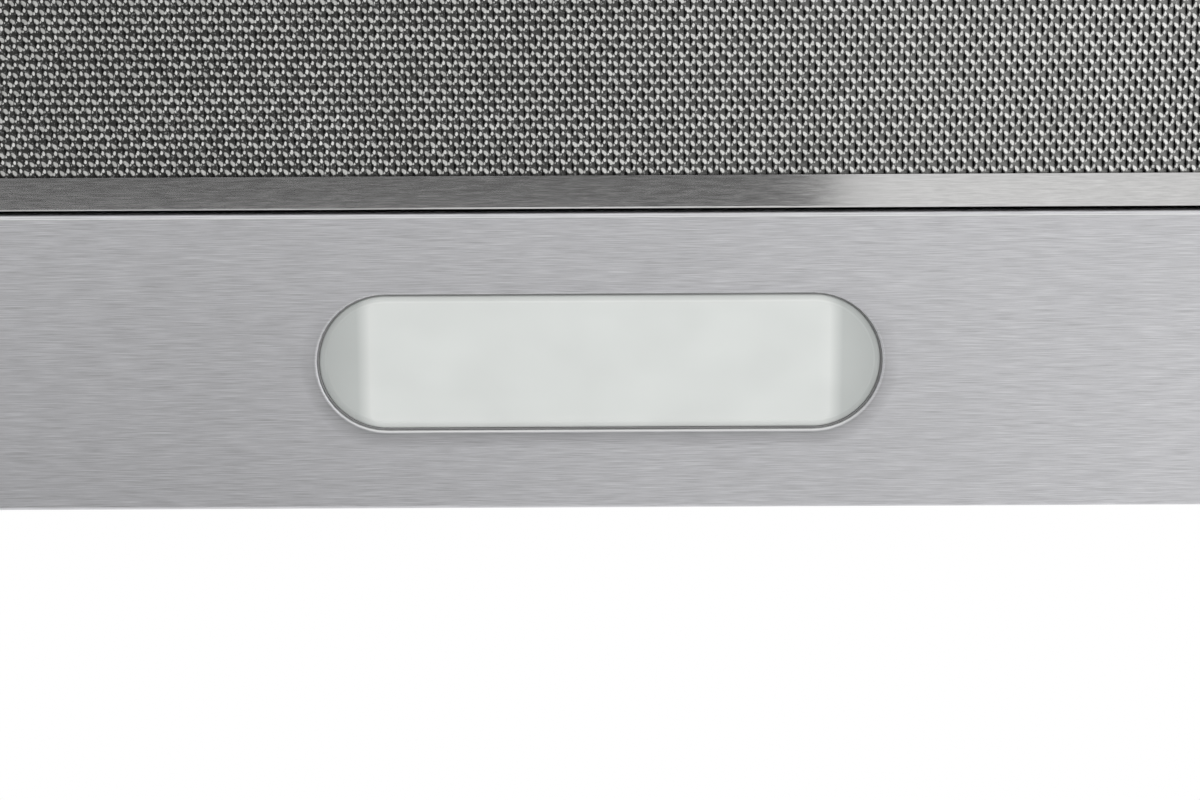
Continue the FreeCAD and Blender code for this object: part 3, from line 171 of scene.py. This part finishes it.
# Soft boxes: place, point they are turned to, width and height, power in watts
SOFT_BOXES = {
    "side_box": ((-1.4, 0.3, -0.9), (0.0, -0.02, 0.0), (1.6, 1.5), 4.4),
    "rear_box": ((0.0, 1.1, -0.95), (0.0, -0.05, 0.0), (2.0, 0.8), 1.9),
}

# Dark cards that the metal mirrors, by their edges in X and then in Y, and the floor far below
DARK_CARDS = {"band_flag": (-0.16, 0.5, -0.185, -0.085), "front_flag": (0.12, 0.9, -0.90, -0.36)}
CARD_Z = -0.88
FLOOR_Z = -2.6
FLOOR_REACH = 14.0


def add_object(name, data):
    """A new object in the scene, at the origin."""
    item = bpy.data.objects.new(name, data)
    bpy.context.scene.collection.objects.link(item)
    return item


def put_mesh(name, points, faces, body, slot, finish, *nodes):
    """Makes one piece from whole arrays of points and faces, on a body and in the place of CAD nodes."""
    mesh = bpy.data.meshes.new(name)
    mesh.from_pydata(points.reshape(-1, 3).tolist(), [], faces.reshape(-1, 4).tolist())
    mesh.update()
    mesh.materials.append(finish)
    piece = add_object(name, mesh)
    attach(piece, body)
    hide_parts(*nodes)
    return piece


def bar_faces(index):
    """Faces of bars of four-cornered section, from point numbers by bar, station and corner.

    The corners go anticlockwise as seen from the bar's first end.
    """
    a, b = index[:, :-1], index[:, 1:]
    walls = np.stack((a, b, np.roll(b, -1, axis=2), np.roll(a, -1, axis=2)), axis=-1)
    ends = np.stack((index[:, 0, :], index[:, -1, ::-1]), axis=1)
    return np.concatenate((walls.reshape(-1, 4), ends.reshape(-1, 4)))


def bowed_leaf(low, high):
    """Points and faces of a bowed leaf spring that fills the box from low to high.

    With u from -1 to 1 along X, its front face lies at the low y plus (1 - cos(pi u)) / 2 times the bow's
    depth. So it is foremost in the middle and flat on the wall behind it at both ends. The sheet's
    thickness is behind that face.
    """
    u = np.linspace(-1.0, 1.0, LEAF_STATIONS)[:, None]
    depth = high.y - LEAF_SHEET - low.y
    through = LEAF_SHEET * np.array((0.0, 1.0, 1.0, 0.0))
    points = np.empty((LEAF_STATIONS, 4, 3))
    points[..., 0] = (low.x + high.x) / 2 + u * (high.x - low.x) / 2
    points[..., 1] = low.y + depth * (1 - np.cos(math.pi * u)) / 2 + through
    points[..., 2] = np.array((high.z, high.z, low.z, low.z))
    return points, bar_faces(np.arange(4 * LEAF_STATIONS).reshape(1, LEAF_STATIONS, 4))


def strand_sheet(columns, rows, first_row, z, hand, shift):
    """Points and faces of tilted zigzag strands.

    Strand k runs along Y at x = shift plus k times the strand pitch. Its middle line swings from there by s
    times (half the pitch less half the leaned width), where s is a wave of y that is held flat along each
    bond, at -1 where the bond's row plus k is even and at 1 where it is odd. The section is a rectangle
    leaned by the tilt, to the side that hand gives. The middle line falls and rises with s by half the
    leaned height, so that two strands lie in one leaned plane where they meet.
    """
    k = columns[:, None]
    row = np.repeat(np.arange(rows + 1), 2)[None, :]
    step = np.tile((-0.5, 0.5), rows + 1)[None, :]
    y = (first_row + row) * BOND_PITCH + step * BOND_LENGTH
    side = np.where((row + first_row + k) % 2 == 0, -1.0, 1.0)
    lean_x = math.cos(STRAND_TILT) * STRAND_WIDTH / 2
    lean_z = math.sin(STRAND_TILT) * STRAND_WIDTH / 2
    x = shift + k * STRAND_PITCH + side * (STRAND_PITCH / 2 - lean_x)
    lift = -hand * side * lean_z
    across = np.array((-1.0, 1.0, 1.0, -1.0))
    through = np.array((-0.5, -0.5, 0.5, 0.5)) * STRAND_SHEET
    points = np.empty((len(columns), 2 * (rows + 1), 4, 3))
    points[..., 0] = x[..., None] + across * lean_x - hand * through * math.sin(STRAND_TILT)
    points[..., 1] = np.broadcast_to(y, x.shape)[..., None]
    points[..., 2] = z + lift[..., None] + across * hand * lean_z + through * math.cos(STRAND_TILT)
    index = np.arange(points[..., 0].size).reshape(points.shape[:3])
    return points, bar_faces(index)


def mesh_span(x0, x1, y0, shift):
    """Columns of strands from x0 up to x1, spaces between bond rows from y0 to the rear, the first row."""
    columns = np.arange(math.ceil((x0 - shift) / STRAND_PITCH), math.ceil((x1 - shift) / STRAND_PITCH))
    first = math.ceil(y0 / BOND_PITCH)
    last = math.floor((MESH_HIGH.y - CUP_CLEAR) / BOND_PITCH)
    return columns, last - first, first


def layer(name, z, hand, shift, x0, x1, finish, *nodes):
    """One layer of expanded mesh from x0 to x1, whose strands in line with a finger cup start behind it."""
    cup0, cup1 = CUP_LOW.x - CUP_CLEAR, CUP_HIGH.x + CUP_CLEAR
    front, behind = MESH_LOW.y + CUP_CLEAR, CUP_HIGH.y + 2 * CUP_CLEAR
    # Runs of strands along X, each with the y where its strands start
    spans = [(-cup0, cup0, front), (cup0, cup1, behind), (-cup1, -cup0, behind)]
    spans += [(cup1, MESH_HIGH.x - CUP_CLEAR, front), (MESH_LOW.x + CUP_CLEAR, -cup1, front)]
    points, faces, count = [], [], 0
    for low, high, start in spans:
        low, high = max(low, x0), min(high, x1)
        if high - low < STRAND_PITCH:
            continue
        p, f = strand_sheet(*mesh_span(low, high, start, shift), z, hand, shift)
        points.append(p.reshape(-1, 3))
        faces.append(f + count)
        count += len(points[-1])
    points, faces = np.concatenate(points), np.concatenate(faces)
    put_mesh(name, points, faces, "filter", "mesh_aluminium", finish, *nodes)


def oblong_rings(profile, closed):
    """Points and faces of an oblong form carried round a stadium outline.

    A ring that lies w in from the outline is the stadium of radius r - w about the same straight runs, so
    the point at angle a is the end of the run plus (r - w)(cos a, sin a). The profile gives w and z for each
    ring, and a closed one joins its last ring to its first.
    """
    inset, height = np.array(profile).T * MM
    angle = (np.arange(RING_STEPS) + 0.5) * 2 * math.pi / RING_STEPS
    radius = (GLASS_RADIUS - inset)[:, None]
    points = np.empty((len(inset), RING_STEPS, 3))
    points[..., 0] = np.sign(np.cos(angle)) * (GLASS_END - GLASS_RADIUS) + radius * np.cos(angle)
    points[..., 1] = LENS_Y + radius * np.sin(angle)
    points[..., 2] = LENS_LOW.z + height[:, None]
    index = np.arange(len(inset) * RING_STEPS).reshape(len(inset), RING_STEPS)
    inner, outer = (index, np.roll(index, -1, axis=0)) if closed else (index[:-1], index[1:])
    faces = np.stack((inner, np.roll(inner, -1, axis=1), np.roll(outer, -1, axis=1), outer), axis=-1)
    return points, faces


def join_doubles(piece):
    """Merges points that lie on each other, and shades the curved runs smooth between the sharp edges."""
    form = bmesh.new()
    form.from_mesh(piece.data)
    bmesh.ops.remove_doubles(form, verts=form.verts, dist=JOIN_DISTANCE)
    form.to_mesh(piece.data)
    form.free()
    piece.data.shade_smooth()
    piece.data.set_sharp_from_angle(angle=SHARP_ANGLE)


def new_finish(name, rough, metal, **sockets):
    """A material with its node tree and shader, and constants set on the shader's own sockets."""
    material = bpy.data.materials.new(name)
    material.use_nodes = True
    shader = material.node_tree.nodes["Principled BSDF"]
    shader.inputs["Roughness"].default_value = rough
    shader.inputs["Metallic"].default_value = metal
    for key, value in sockets.items():
        shader.inputs[key.replace("_", " ")].default_value = value
    return material, material.node_tree, shader


def coords(tree, scale, turn=(0.0, 0.0, 0.0), shift=(0.0, 0.0, 0.0)):
    """Object coordinates, stretched, turned and moved."""
    place = tree.nodes.new("ShaderNodeTexCoord")
    mapping = tree.nodes.new("ShaderNodeMapping")
    mapping.inputs["Scale"].default_value = scale
    mapping.inputs["Rotation"].default_value = turn
    mapping.inputs["Location"].default_value = shift
    tree.links.new(place.outputs["Object"], mapping.inputs["Vector"])
    return mapping.outputs["Vector"]


def axes(tree, scale=(1.0, 1.0, 1.0), shift=(0.0, 0.0, 0.0)):
    """Object coordinates axis by axis, stretched and moved."""
    split = tree.nodes.new("ShaderNodeSeparateXYZ")
    tree.links.new(coords(tree, scale, shift=shift), split.inputs["Vector"])
    return split.outputs


def noise(tree, scale, detail=3.0, rough=0.55):
    """Soft noise between 0 and 1, with its scale per metre along each axis."""
    node = tree.nodes.new("ShaderNodeTexNoise")
    node.inputs["Scale"].default_value = 1.0
    node.inputs["Detail"].default_value = detail
    node.inputs["Roughness"].default_value = rough
    tree.links.new(coords(tree, scale), node.inputs["Vector"])
    return node.outputs["Fac"]


def spread(tree, value, low, high, start=0.3, end=0.7):
    """A value between start and end carried to the range from low to high."""
    node = tree.nodes.new("ShaderNodeMapRange")
    for key, number in (("From Min", start), ("From Max", end), ("To Min", low), ("To Max", high)):
        node.inputs[key].default_value = number
    tree.links.new(value, node.inputs["Value"])
    return node.outputs["Result"]


def math_node(tree, kind, first, second=None):
    """One sum on a value, with a second value or a number where the sum takes one."""
    node = tree.nodes.new("ShaderNodeMath")
    node.operation = kind
    tree.links.new(first, node.inputs[0])
    if isinstance(second, float):
        node.inputs[1].default_value = second
    elif second is not None:
        tree.links.new(second, node.inputs[1])
    return node.outputs["Value"]


def shades(tree, value, *stops):
    """A colour ramp of (place, red, green, blue) stops."""
    node = tree.nodes.new("ShaderNodeValToRGB")
    ramp = node.color_ramp
    while len(ramp.elements) < len(stops):
        ramp.elements.new(0.5)
    for element, (place, *colour) in zip(ramp.elements, stops):
        element.position = place
        element.color = (*colour, 1.0)
    tree.links.new(value, node.inputs["Fac"])
    return node.outputs["Color"]


def greys(tree, value, *stops, tint=NEUTRAL):
    """A colour ramp of (place, level) stops, as greys with a faint tint."""
    return shades(tree, value, *[(place, *[level * share for share in tint]) for place, level in stops])


def relief(tree, shader, value, height, strength):
    """Bump from a value, with its height in metres."""
    node = tree.nodes.new("ShaderNodeBump")
    node.inputs["Strength"].default_value = strength
    node.inputs["Distance"].default_value = height
    tree.links.new(value, node.inputs["Height"])
    tree.links.new(node.outputs["Normal"], shader.inputs["Normal"])


def mixed(tree, first, second, kind="MULTIPLY", share=None):
    """Two colours mixed, by a share where one is given."""
    node = tree.nodes.new("ShaderNodeMix")
    node.data_type = "RGBA"
    node.blend_type = kind
    node.inputs["Factor"].default_value = 1.0
    if share is not None:
        tree.links.new(share, node.inputs["Factor"])
    tree.links.new(first, node.inputs["A"])
    tree.links.new(second, node.inputs["B"])
    return node.outputs["Result"]


def brushed(name, dark, light, rough, stretch, bump, tint, change=0.06):
    """Sheet metal with fine scratches in one direction, which change its shade, gloss and height."""
    material, tree, shader = new_finish(name, rough, 1.0)
    fine = noise(tree, stretch, 4.0, 0.6)
    broad = noise(tree, (3.0, 9.0, 9.0), 2.0)
    streaks = greys(tree, fine, (0.3, dark), (0.7, light), tint=tint)
    clouds = greys(tree, broad, (0.3, 0.93), (0.7, 1.0))
    tree.links.new(mixed(tree, streaks, clouds), shader.inputs["Base Color"])
    tree.links.new(spread(tree, fine, rough - change, rough + change), shader.inputs["Roughness"])
    relief(tree, shader, fine, bump, 0.5)
    return material


def past_oblong(tree, half_x, half_y, radius):
    """How far a place lies outside a rounded oblong about the lamp glass's middle, below 0 inside it.

    With p the place from the middle, it is the length of max(|p| - half size + radius, 0), less the radius.
    """
    place = coords(tree, (1.0, 1.0, 0.0), shift=(0.0, -LENS_Y, 0.0))
    for kind, numbers in (("ABSOLUTE", None), ("SUBTRACT", (half_x - radius, half_y - radius, 0.0)),
                          ("MAXIMUM", (0.0, 0.0, 0.0)), ("LENGTH", None)):
        node = tree.nodes.new("ShaderNodeVectorMath")
        node.operation = kind
        tree.links.new(place, node.inputs[0])
        if numbers:
            node.inputs[1].default_value = numbers
        place = node.outputs["Value" if kind == "LENGTH" else "Vector"]
    return math_node(tree, "SUBTRACT", place, radius)


def panel_painted_light(material):
    """Paints light and shade on the panel: a pale highlight along the fold by the filter opening, and a
    pale highlight and a dark shade round the lamp hole.

    The two round the hole are painted strongest at its front and fade out towards its rear.
    """
    tree = material.node_tree
    base = tree.nodes["Principled BSDF"].inputs["Base Color"]
    place = axes(tree, shift=(0.0, -FOLD_Y, 0.0))
    # Painted highlight along the fold by the filter opening
    near = spread(tree, math_node(tree, "ABSOLUTE", place["Y"]), 1.0, 0.0, 0.0, FOLD_HALF)
    inside = math_node(tree, "LESS_THAN", math_node(tree, "ABSOLUTE", place["X"]), FILTER_HIGH.x)
    fold = greys(tree, math_node(tree, "MULTIPLY", near, inside), (0.3, 0.0), (0.7, 0.92))
    tone = mixed(tree, base.links[0].from_socket, fold, "LIGHTEN")
    # Painted shade and painted highlight round the lamp hole, strongest at its front
    past = spread(tree, past_oblong(tree, HOLE_END, HOLE_RADIUS, HOLE_RADIUS), 0.0, 1.0, 0.0, RIM_REACH)
    front = spread(tree, place["Y"], 1.0, 0.0, LENS_LOW.y - FOLD_Y, LENS_HIGH.y - FOLD_Y)
    dark = greys(tree, past, (0.12, 1.0), (0.16, 0.62), (0.30, 0.74), (1.0, 1.0))
    tone = mixed(tree, tone, dark, "MULTIPLY", front)
    rim = math_node(tree, "MULTIPLY", spread(tree, past, 1.0, 0.0, 0.10, 0.14), front)
    tone = mixed(tree, tone, greys(tree, rim, (0.0, 0.0), (1.0, 0.78)), "LIGHTEN")
    tree.links.new(tone, base)
    return material


def galvanised(name):
    """Zinc-coated sheet: flat crystals of slightly different grey, with fine rolling lines."""
    material, tree, shader = new_finish(name, 0.4, 0.9)
    cells = tree.nodes.new("ShaderNodeTexVoronoi")
    cells.inputs["Scale"].default_value = 1.0
    tree.links.new(coords(tree, (190.0, 190.0, 190.0), (0.4, 0.3, 0.2)), cells.inputs["Vector"])
    split = tree.nodes.new("ShaderNodeSeparateColor")
    tree.links.new(cells.outputs["Color"], split.inputs["Color"])
    lines = noise(tree, (40.0, 40.0, 700.0))
    crystal = shades(tree, split.outputs["Red"], (0.0, 0.50, 0.51, 0.52), (1.0, 0.57, 0.58, 0.59))
    wash = greys(tree, lines, (0.3, 0.9), (0.7, 1.0))
    tree.links.new(mixed(tree, crystal, wash), shader.inputs["Base Color"])
    tree.links.new(spread(tree, split.outputs["Green"], 0.36, 0.46, 0.0, 1.0), shader.inputs["Roughness"])
    relief(tree, shader, lines, 0.05 * MM, 0.3)
    return material


def frosted(name):
    """Frosted glass with painted light: bright over the reflector box, darker past its ends, a painted
    highlight line inside its edge and a darker painted band out to the edge.
    """
    material, tree, shader = new_finish(name, 0.34, 0.0, IOR=1.5, Coat_Weight=0.25, Coat_Roughness=0.2)
    # Painted light: bright over the reflector box, darker past its ends
    box = past_oblong(tree, BRIGHT_END, BRIGHT_SIDE, BRIGHT_CORNER)
    lit_zones = shades(tree, spread(tree, box, 0.0, 1.0, *BRIGHT_FADE), (0.0, 0.865, 0.895, 0.872),
                   (0.19, 0.885, 0.91, 0.888), (0.41, 0.61, 0.638, 0.622), (0.9, 0.55, 0.575, 0.562),
                   (1.0, 0.58, 0.605, 0.592))
    # Painted highlight line inside the edge, with a darker painted band out to the edge
    outline = past_oblong(tree, GLASS_END, GLASS_RADIUS, GLASS_RADIUS)
    edge = greys(tree, spread(tree, outline, 0.0, 1.0, -EDGE_REACH, 0.0), (0.36, 0.945), (0.42, 1.0),
                 (0.50, 0.99), (0.56, 0.905), (1.0, 0.86))
    veil = greys(tree, noise(tree, (45.0, 60.0, 60.0), 1.0), (0.3, 0.95), (0.7, 1.0))
    tree.links.new(mixed(tree, mixed(tree, lit_zones, edge), veil), shader.inputs["Base Color"])
    grain = noise(tree, (2500.0, 2500.0, 2500.0), 2.0)
    tree.links.new(spread(tree, grain, 0.28, 0.42), shader.inputs["Roughness"])
    relief(tree, shader, grain, 0.02 * MM, 0.4)
    return material


def moulded(name, dark, light, rough, scale, bump, metal=0.0):
    """Moulded or cast surface: cloudy shade, a fine grain in its gloss and height."""
    material, tree, shader = new_finish(name, rough, metal)
    clouds = noise(tree, (scale / 30, scale / 30, scale / 30))
    grain = noise(tree, (scale, scale, scale))
    tone = shades(tree, clouds, (0.3, *dark), (0.7, *light))
    speck = greys(tree, grain, (0.3, 0.9), (0.7, 1.0))
    tree.links.new(mixed(tree, tone, speck), shader.inputs["Base Color"])
    tree.links.new(spread(tree, grain, rough - 0.06, rough + 0.08), shader.inputs["Roughness"])
    relief(tree, shader, grain, bump, 0.6)
    return material


def bond_wave(tree, shift, waves):
    """A wave over the mesh with a crest at each bond, moved by a shift.

    With u and v the place in strand and bond pitches, it is the sum of -sin(pi (u + v)), -sin(pi (u - v))
    and cos(2 pi v), each times its share in waves. A larger second share draws each crest out along u = v,
    and a larger third one makes it shorter along v.
    """
    place = axes(tree, (math.pi / STRAND_PITCH, math.pi / BOND_PITCH, 1.0))
    u = math_node(tree, "ADD", place["X"], -math.pi * shift[0])
    v = math_node(tree, "ADD", place["Y"], -math.pi * shift[1])
    rising = math_node(tree, "SINE", math_node(tree, "ADD", u, v))
    falling = math_node(tree, "SINE", math_node(tree, "SUBTRACT", u, v))
    level = math_node(tree, "COSINE", math_node(tree, "ADD", v, v))
    first = math_node(tree, "MULTIPLY", rising, -waves[0])
    second = math_node(tree, "MULTIPLY", falling, -waves[1])
    third = math_node(tree, "MULTIPLY", level, waves[2])
    return math_node(tree, "ADD", math_node(tree, "ADD", first, second), third)


def marks(tree, kind, ragged=None):
    """How strongly a kind of mark shows, from 0 to 1, with its edge moved by a ragged value if given."""
    shift, waves, levels = kind
    wave = bond_wave(tree, shift, waves)
    if ragged is not None:
        wave = math_node(tree, "ADD", wave, ragged)
    return spread(tree, wave, 0.0, 1.0, *levels)


def strand_finish(name):
    """Expanded aluminium with painted light and shade on each cell of the mesh.

    Each cell has a tongue painted light as a lit face, a glint and a speck as painted highlights, and a
    slit painted dark as shade. The metal between them is painted dark as shade, with fine painted sparkle
    in it. Both are painted lighter towards -X, as if lit from that side. A fine change of shade and a
    broad film of grease lie over all of it.
    """
    material, tree, shader = new_finish(name, 0.34, 0.75)
    ragged = spread(tree, noise(tree, (520.0, 380.0, 520.0), 3.0, 0.7), -RAGGED, RAGGED)
    # Painted lighter towards -X, as if lit from that side
    lit_side = spread(tree, axes(tree)["X"], 1.0, 0.0, -LIT_SIDE_REACH, LIT_SIDE_REACH)
    shaded_tone, lit_tone = [shades(tree, lit_side, (0.0, *new), (0.5, *half), (1.0, *most_lit))
                   for new, half, most_lit in (SHADED_METAL, LIT_METAL)]
    # Fine painted sparkle on the shaded metal
    sparkle = noise(tree, (1500.0, 1100.0, 1500.0), 2.0, 0.7)
    shaded_tone = mixed(tree, shaded_tone, greys(tree, sparkle, (0.54, 0.0), (0.72, 0.45)), "LIGHTEN")
    # Painted light on the tongues over the painted shade of the metal between them
    tone = mixed(tree, shaded_tone, lit_tone, "MIX", marks(tree, LIT_TONGUE, ragged))
    # Painted highlights: a glint and a speck on each cell
    for kind, shade in ((PAINTED_GLINT, GLINT_COLOUR), (PAINTED_SPECK, SPECK_COLOUR)):
        highlights = shades(tree, marks(tree, kind, ragged), (0.0, 0.0, 0.0, 0.0), (1.0, *shade))
        tone = mixed(tree, tone, highlights, "LIGHTEN")
    strands = noise(tree, (420.0, 300.0, 420.0), 4.0, 0.65)
    change = shades(tree, strands, (0.3, 0.62, 0.62, 0.615), (0.7, 1.0, 1.0, 1.0))
    film = shades(tree, noise(tree, (14.0, 14.0, 14.0)), (0.3, 0.90, 0.90, 0.885), (0.7, 1.0, 1.0, 0.99))
    tone = mixed(tree, mixed(tree, tone, change), film)
    # Painted shade in the slits between strands
    uneven = spread(tree, noise(tree, (170.0, 120.0, 170.0), 2.0), 0.55, 1.0, 0.35, 0.6)
    slit_shading = greys(tree, math_node(tree, "MULTIPLY", marks(tree, SLIT_SHADE), uneven), (0.0, 1.0), (1.0, 0.03))
    tree.links.new(mixed(tree, tone, slit_shading), shader.inputs["Base Color"])
    tree.links.new(spread(tree, strands, 0.26, 0.44), shader.inputs["Roughness"])
    relief(tree, shader, strands, 0.05 * MM, 0.5)
    return material


def floor_finish(name):
    """Pale matt floor, faintly cloudy."""
    material, tree, shader = new_finish(name, 0.9, 0.0)
    tone = greys(tree, noise(tree, (2.0, 2.0, 2.0)), (0.3, 0.80), (0.7, 0.83))
    tree.links.new(tone, shader.inputs["Base Color"])
    return material


def flat_card(name, x0, x1, y0, y1, z, finish):
    """A level rectangle that belongs to the studio and not to the part."""
    mesh = bpy.data.meshes.new(name)
    mesh.from_pydata([(x0, y0, z), (x1, y0, z), (x1, y1, z), (x0, y1, z)], [], [(0, 1, 2, 3)])
    mesh.materials.append(finish)
    card = add_object(name, mesh)
    return card


def soft_box(name, place, aim, size, power):
    """A rectangular soft box at a place, turned to a point and out of the camera's sight."""
    light = bpy.data.lights.new(name, "AREA")
    light.shape = "RECTANGLE"
    light.size, light.size_y = size
    light.energy = power
    box = add_object(name, light)
    box.location = place
    box.visible_camera = False
    box.rotation_euler = (Vector(aim) - Vector(place)).to_track_quat("-Z", "Y").to_euler()


def white_world():
    """Plain white world: the light from all round, and what the camera and the metal see past the part."""
    world = bpy.data.worlds.new("studio")
    world.use_nodes = True
    background = world.node_tree.nodes["Background"]
    background.inputs["Color"].default_value = (1.0, 1.0, 1.0, 1.0)
    background.inputs["Strength"].default_value = 1.0
    bpy.context.scene.world = world


def photo_camera():
    """Camera below the panel, a little to the rear of the point it aims at, looking up and forwards."""
    data = bpy.data.cameras.new("camera")
    data.lens = LENS_MM
    data.sensor_width = SENSOR_MM
    data.clip_start, data.clip_end = CLIP_RANGE
    camera = add_object("camera", data)
    look = Vector((0.0, -math.sin(VIEW_TILT), math.cos(VIEW_TILT)))
    up = Vector((0.0, math.cos(VIEW_TILT), math.sin(VIEW_TILT)))
    up.rotate(Matrix.Rotation(VIEW_ROLL, 3, look))
    turn = Matrix((look.cross(up), up, -look)).transposed().to_4x4()
    place = Vector((0.0, VIEW_AIM_Y, UNDERSIDE)) - look * VIEW_DISTANCE
    camera.matrix_world = Matrix.Translation(place) @ turn
    bpy.context.scene.camera = camera


# Finishes of the part's material slots
finishes = {
    "panel_steel": panel_painted_light(brushed("panel_steel_finish", *PANEL_STEEL)),
    "zinc_sheet": galvanised("zinc_sheet_finish"),
    "filter_aluminium": brushed("filter_band_finish", *FILTER_BAND),
    "mesh_aluminium": strand_finish("mesh_strand_finish"),
    "lens_glass": frosted("lens_finish"),
    "spring_steel": brushed("spring_steel_finish", *SPRING_STEEL),
}
for slot, look in MOULDED.items():
    finishes[slot] = moulded(f"{slot}_finish", *look)
for part in frame["record"]["subparts"]:
    for place in frame["nodes"][part["node"]].material_slots:
        place.material = finishes[part["material_slot"]]

# The filter's mesh: a layer facing down, one close above it painted dark as shade to narrow its openings,
# one at the back
strand_metal = finishes["mesh_aluminium"]
shaded_inner_metal = moulded("inner_strand_finish", *SHADED_INNER_STRAND)
front_z = FILTER_LOW.z + LAYER_DEPTH
back_z = FILTER_HIGH.z - LAYER_DEPTH
for side, x0, x1 in (("left", MESH_LOW.x, 0.0), ("right", 0.0, MESH_HIGH.x)):
    layer(f"mesh_front_{side}", front_z, -1, 0.0, x0, x1, strand_metal, "filter_mesh_front")
    layer(f"mesh_inner_{side}", front_z + LAYER_STEP, -1, STRAND_PITCH, x0, x1, shaded_inner_metal, "filter_core")
    layer(f"mesh_back_{side}", back_z, 1, 0.0, x0, x1, strand_metal, "filter_mesh_back")

# The lamp's glass with its bevel and raised face, and its seal with the lip that shows in the gap
middle = GLASS_RADIUS / MM
glass_form = oblong_rings(((middle, 0.0), *GLASS_FACE, *GLASS_BACK, (middle, BACK)), False)
seal_form = oblong_rings(SEAL_LIP, True)
seal_finish = moulded("seal_lip_finish", *SEAL_GREY)
join_doubles(put_mesh("lamp_glass", *glass_form, "hood", "lens_glass", finishes["lens_glass"], "lamp_lens"))
join_doubles(put_mesh("lamp_seal", *seal_form, "hood", "seal_rubber", seal_finish, "lamp_gasket"))

# The latch springs: each gives way to its slider, against the rear wall of the cup
for side in ("left", "right"):
    node = f"latch_spring_{side}"
    low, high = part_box(node)
    form = bowed_leaf(low, high)
    leaf = put_mesh(f"latch_leaf_{side}", *form, "filter", "spring_steel", finishes["spring_steel"], node)
    join_doubles(leaf)
    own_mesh(leaf)

# Floor, light and camera
floor_edges = (-FLOOR_REACH, FLOOR_REACH, -FLOOR_REACH, FLOOR_REACH)
flat_card("floor", *floor_edges, FLOOR_Z, floor_finish("floor_finish"))
card_finish = moulded("flag_finish", *DARK_CARD)
for name, edges in DARK_CARDS.items():
    card = flat_card(name, *edges, CARD_Z, card_finish)
    card.visible_camera = False
for name, setting in SOFT_BOXES.items():
    soft_box(name, *setting)
white_world()
photo_camera()
bpy.context.scene.view_settings.view_transform = "Standard"
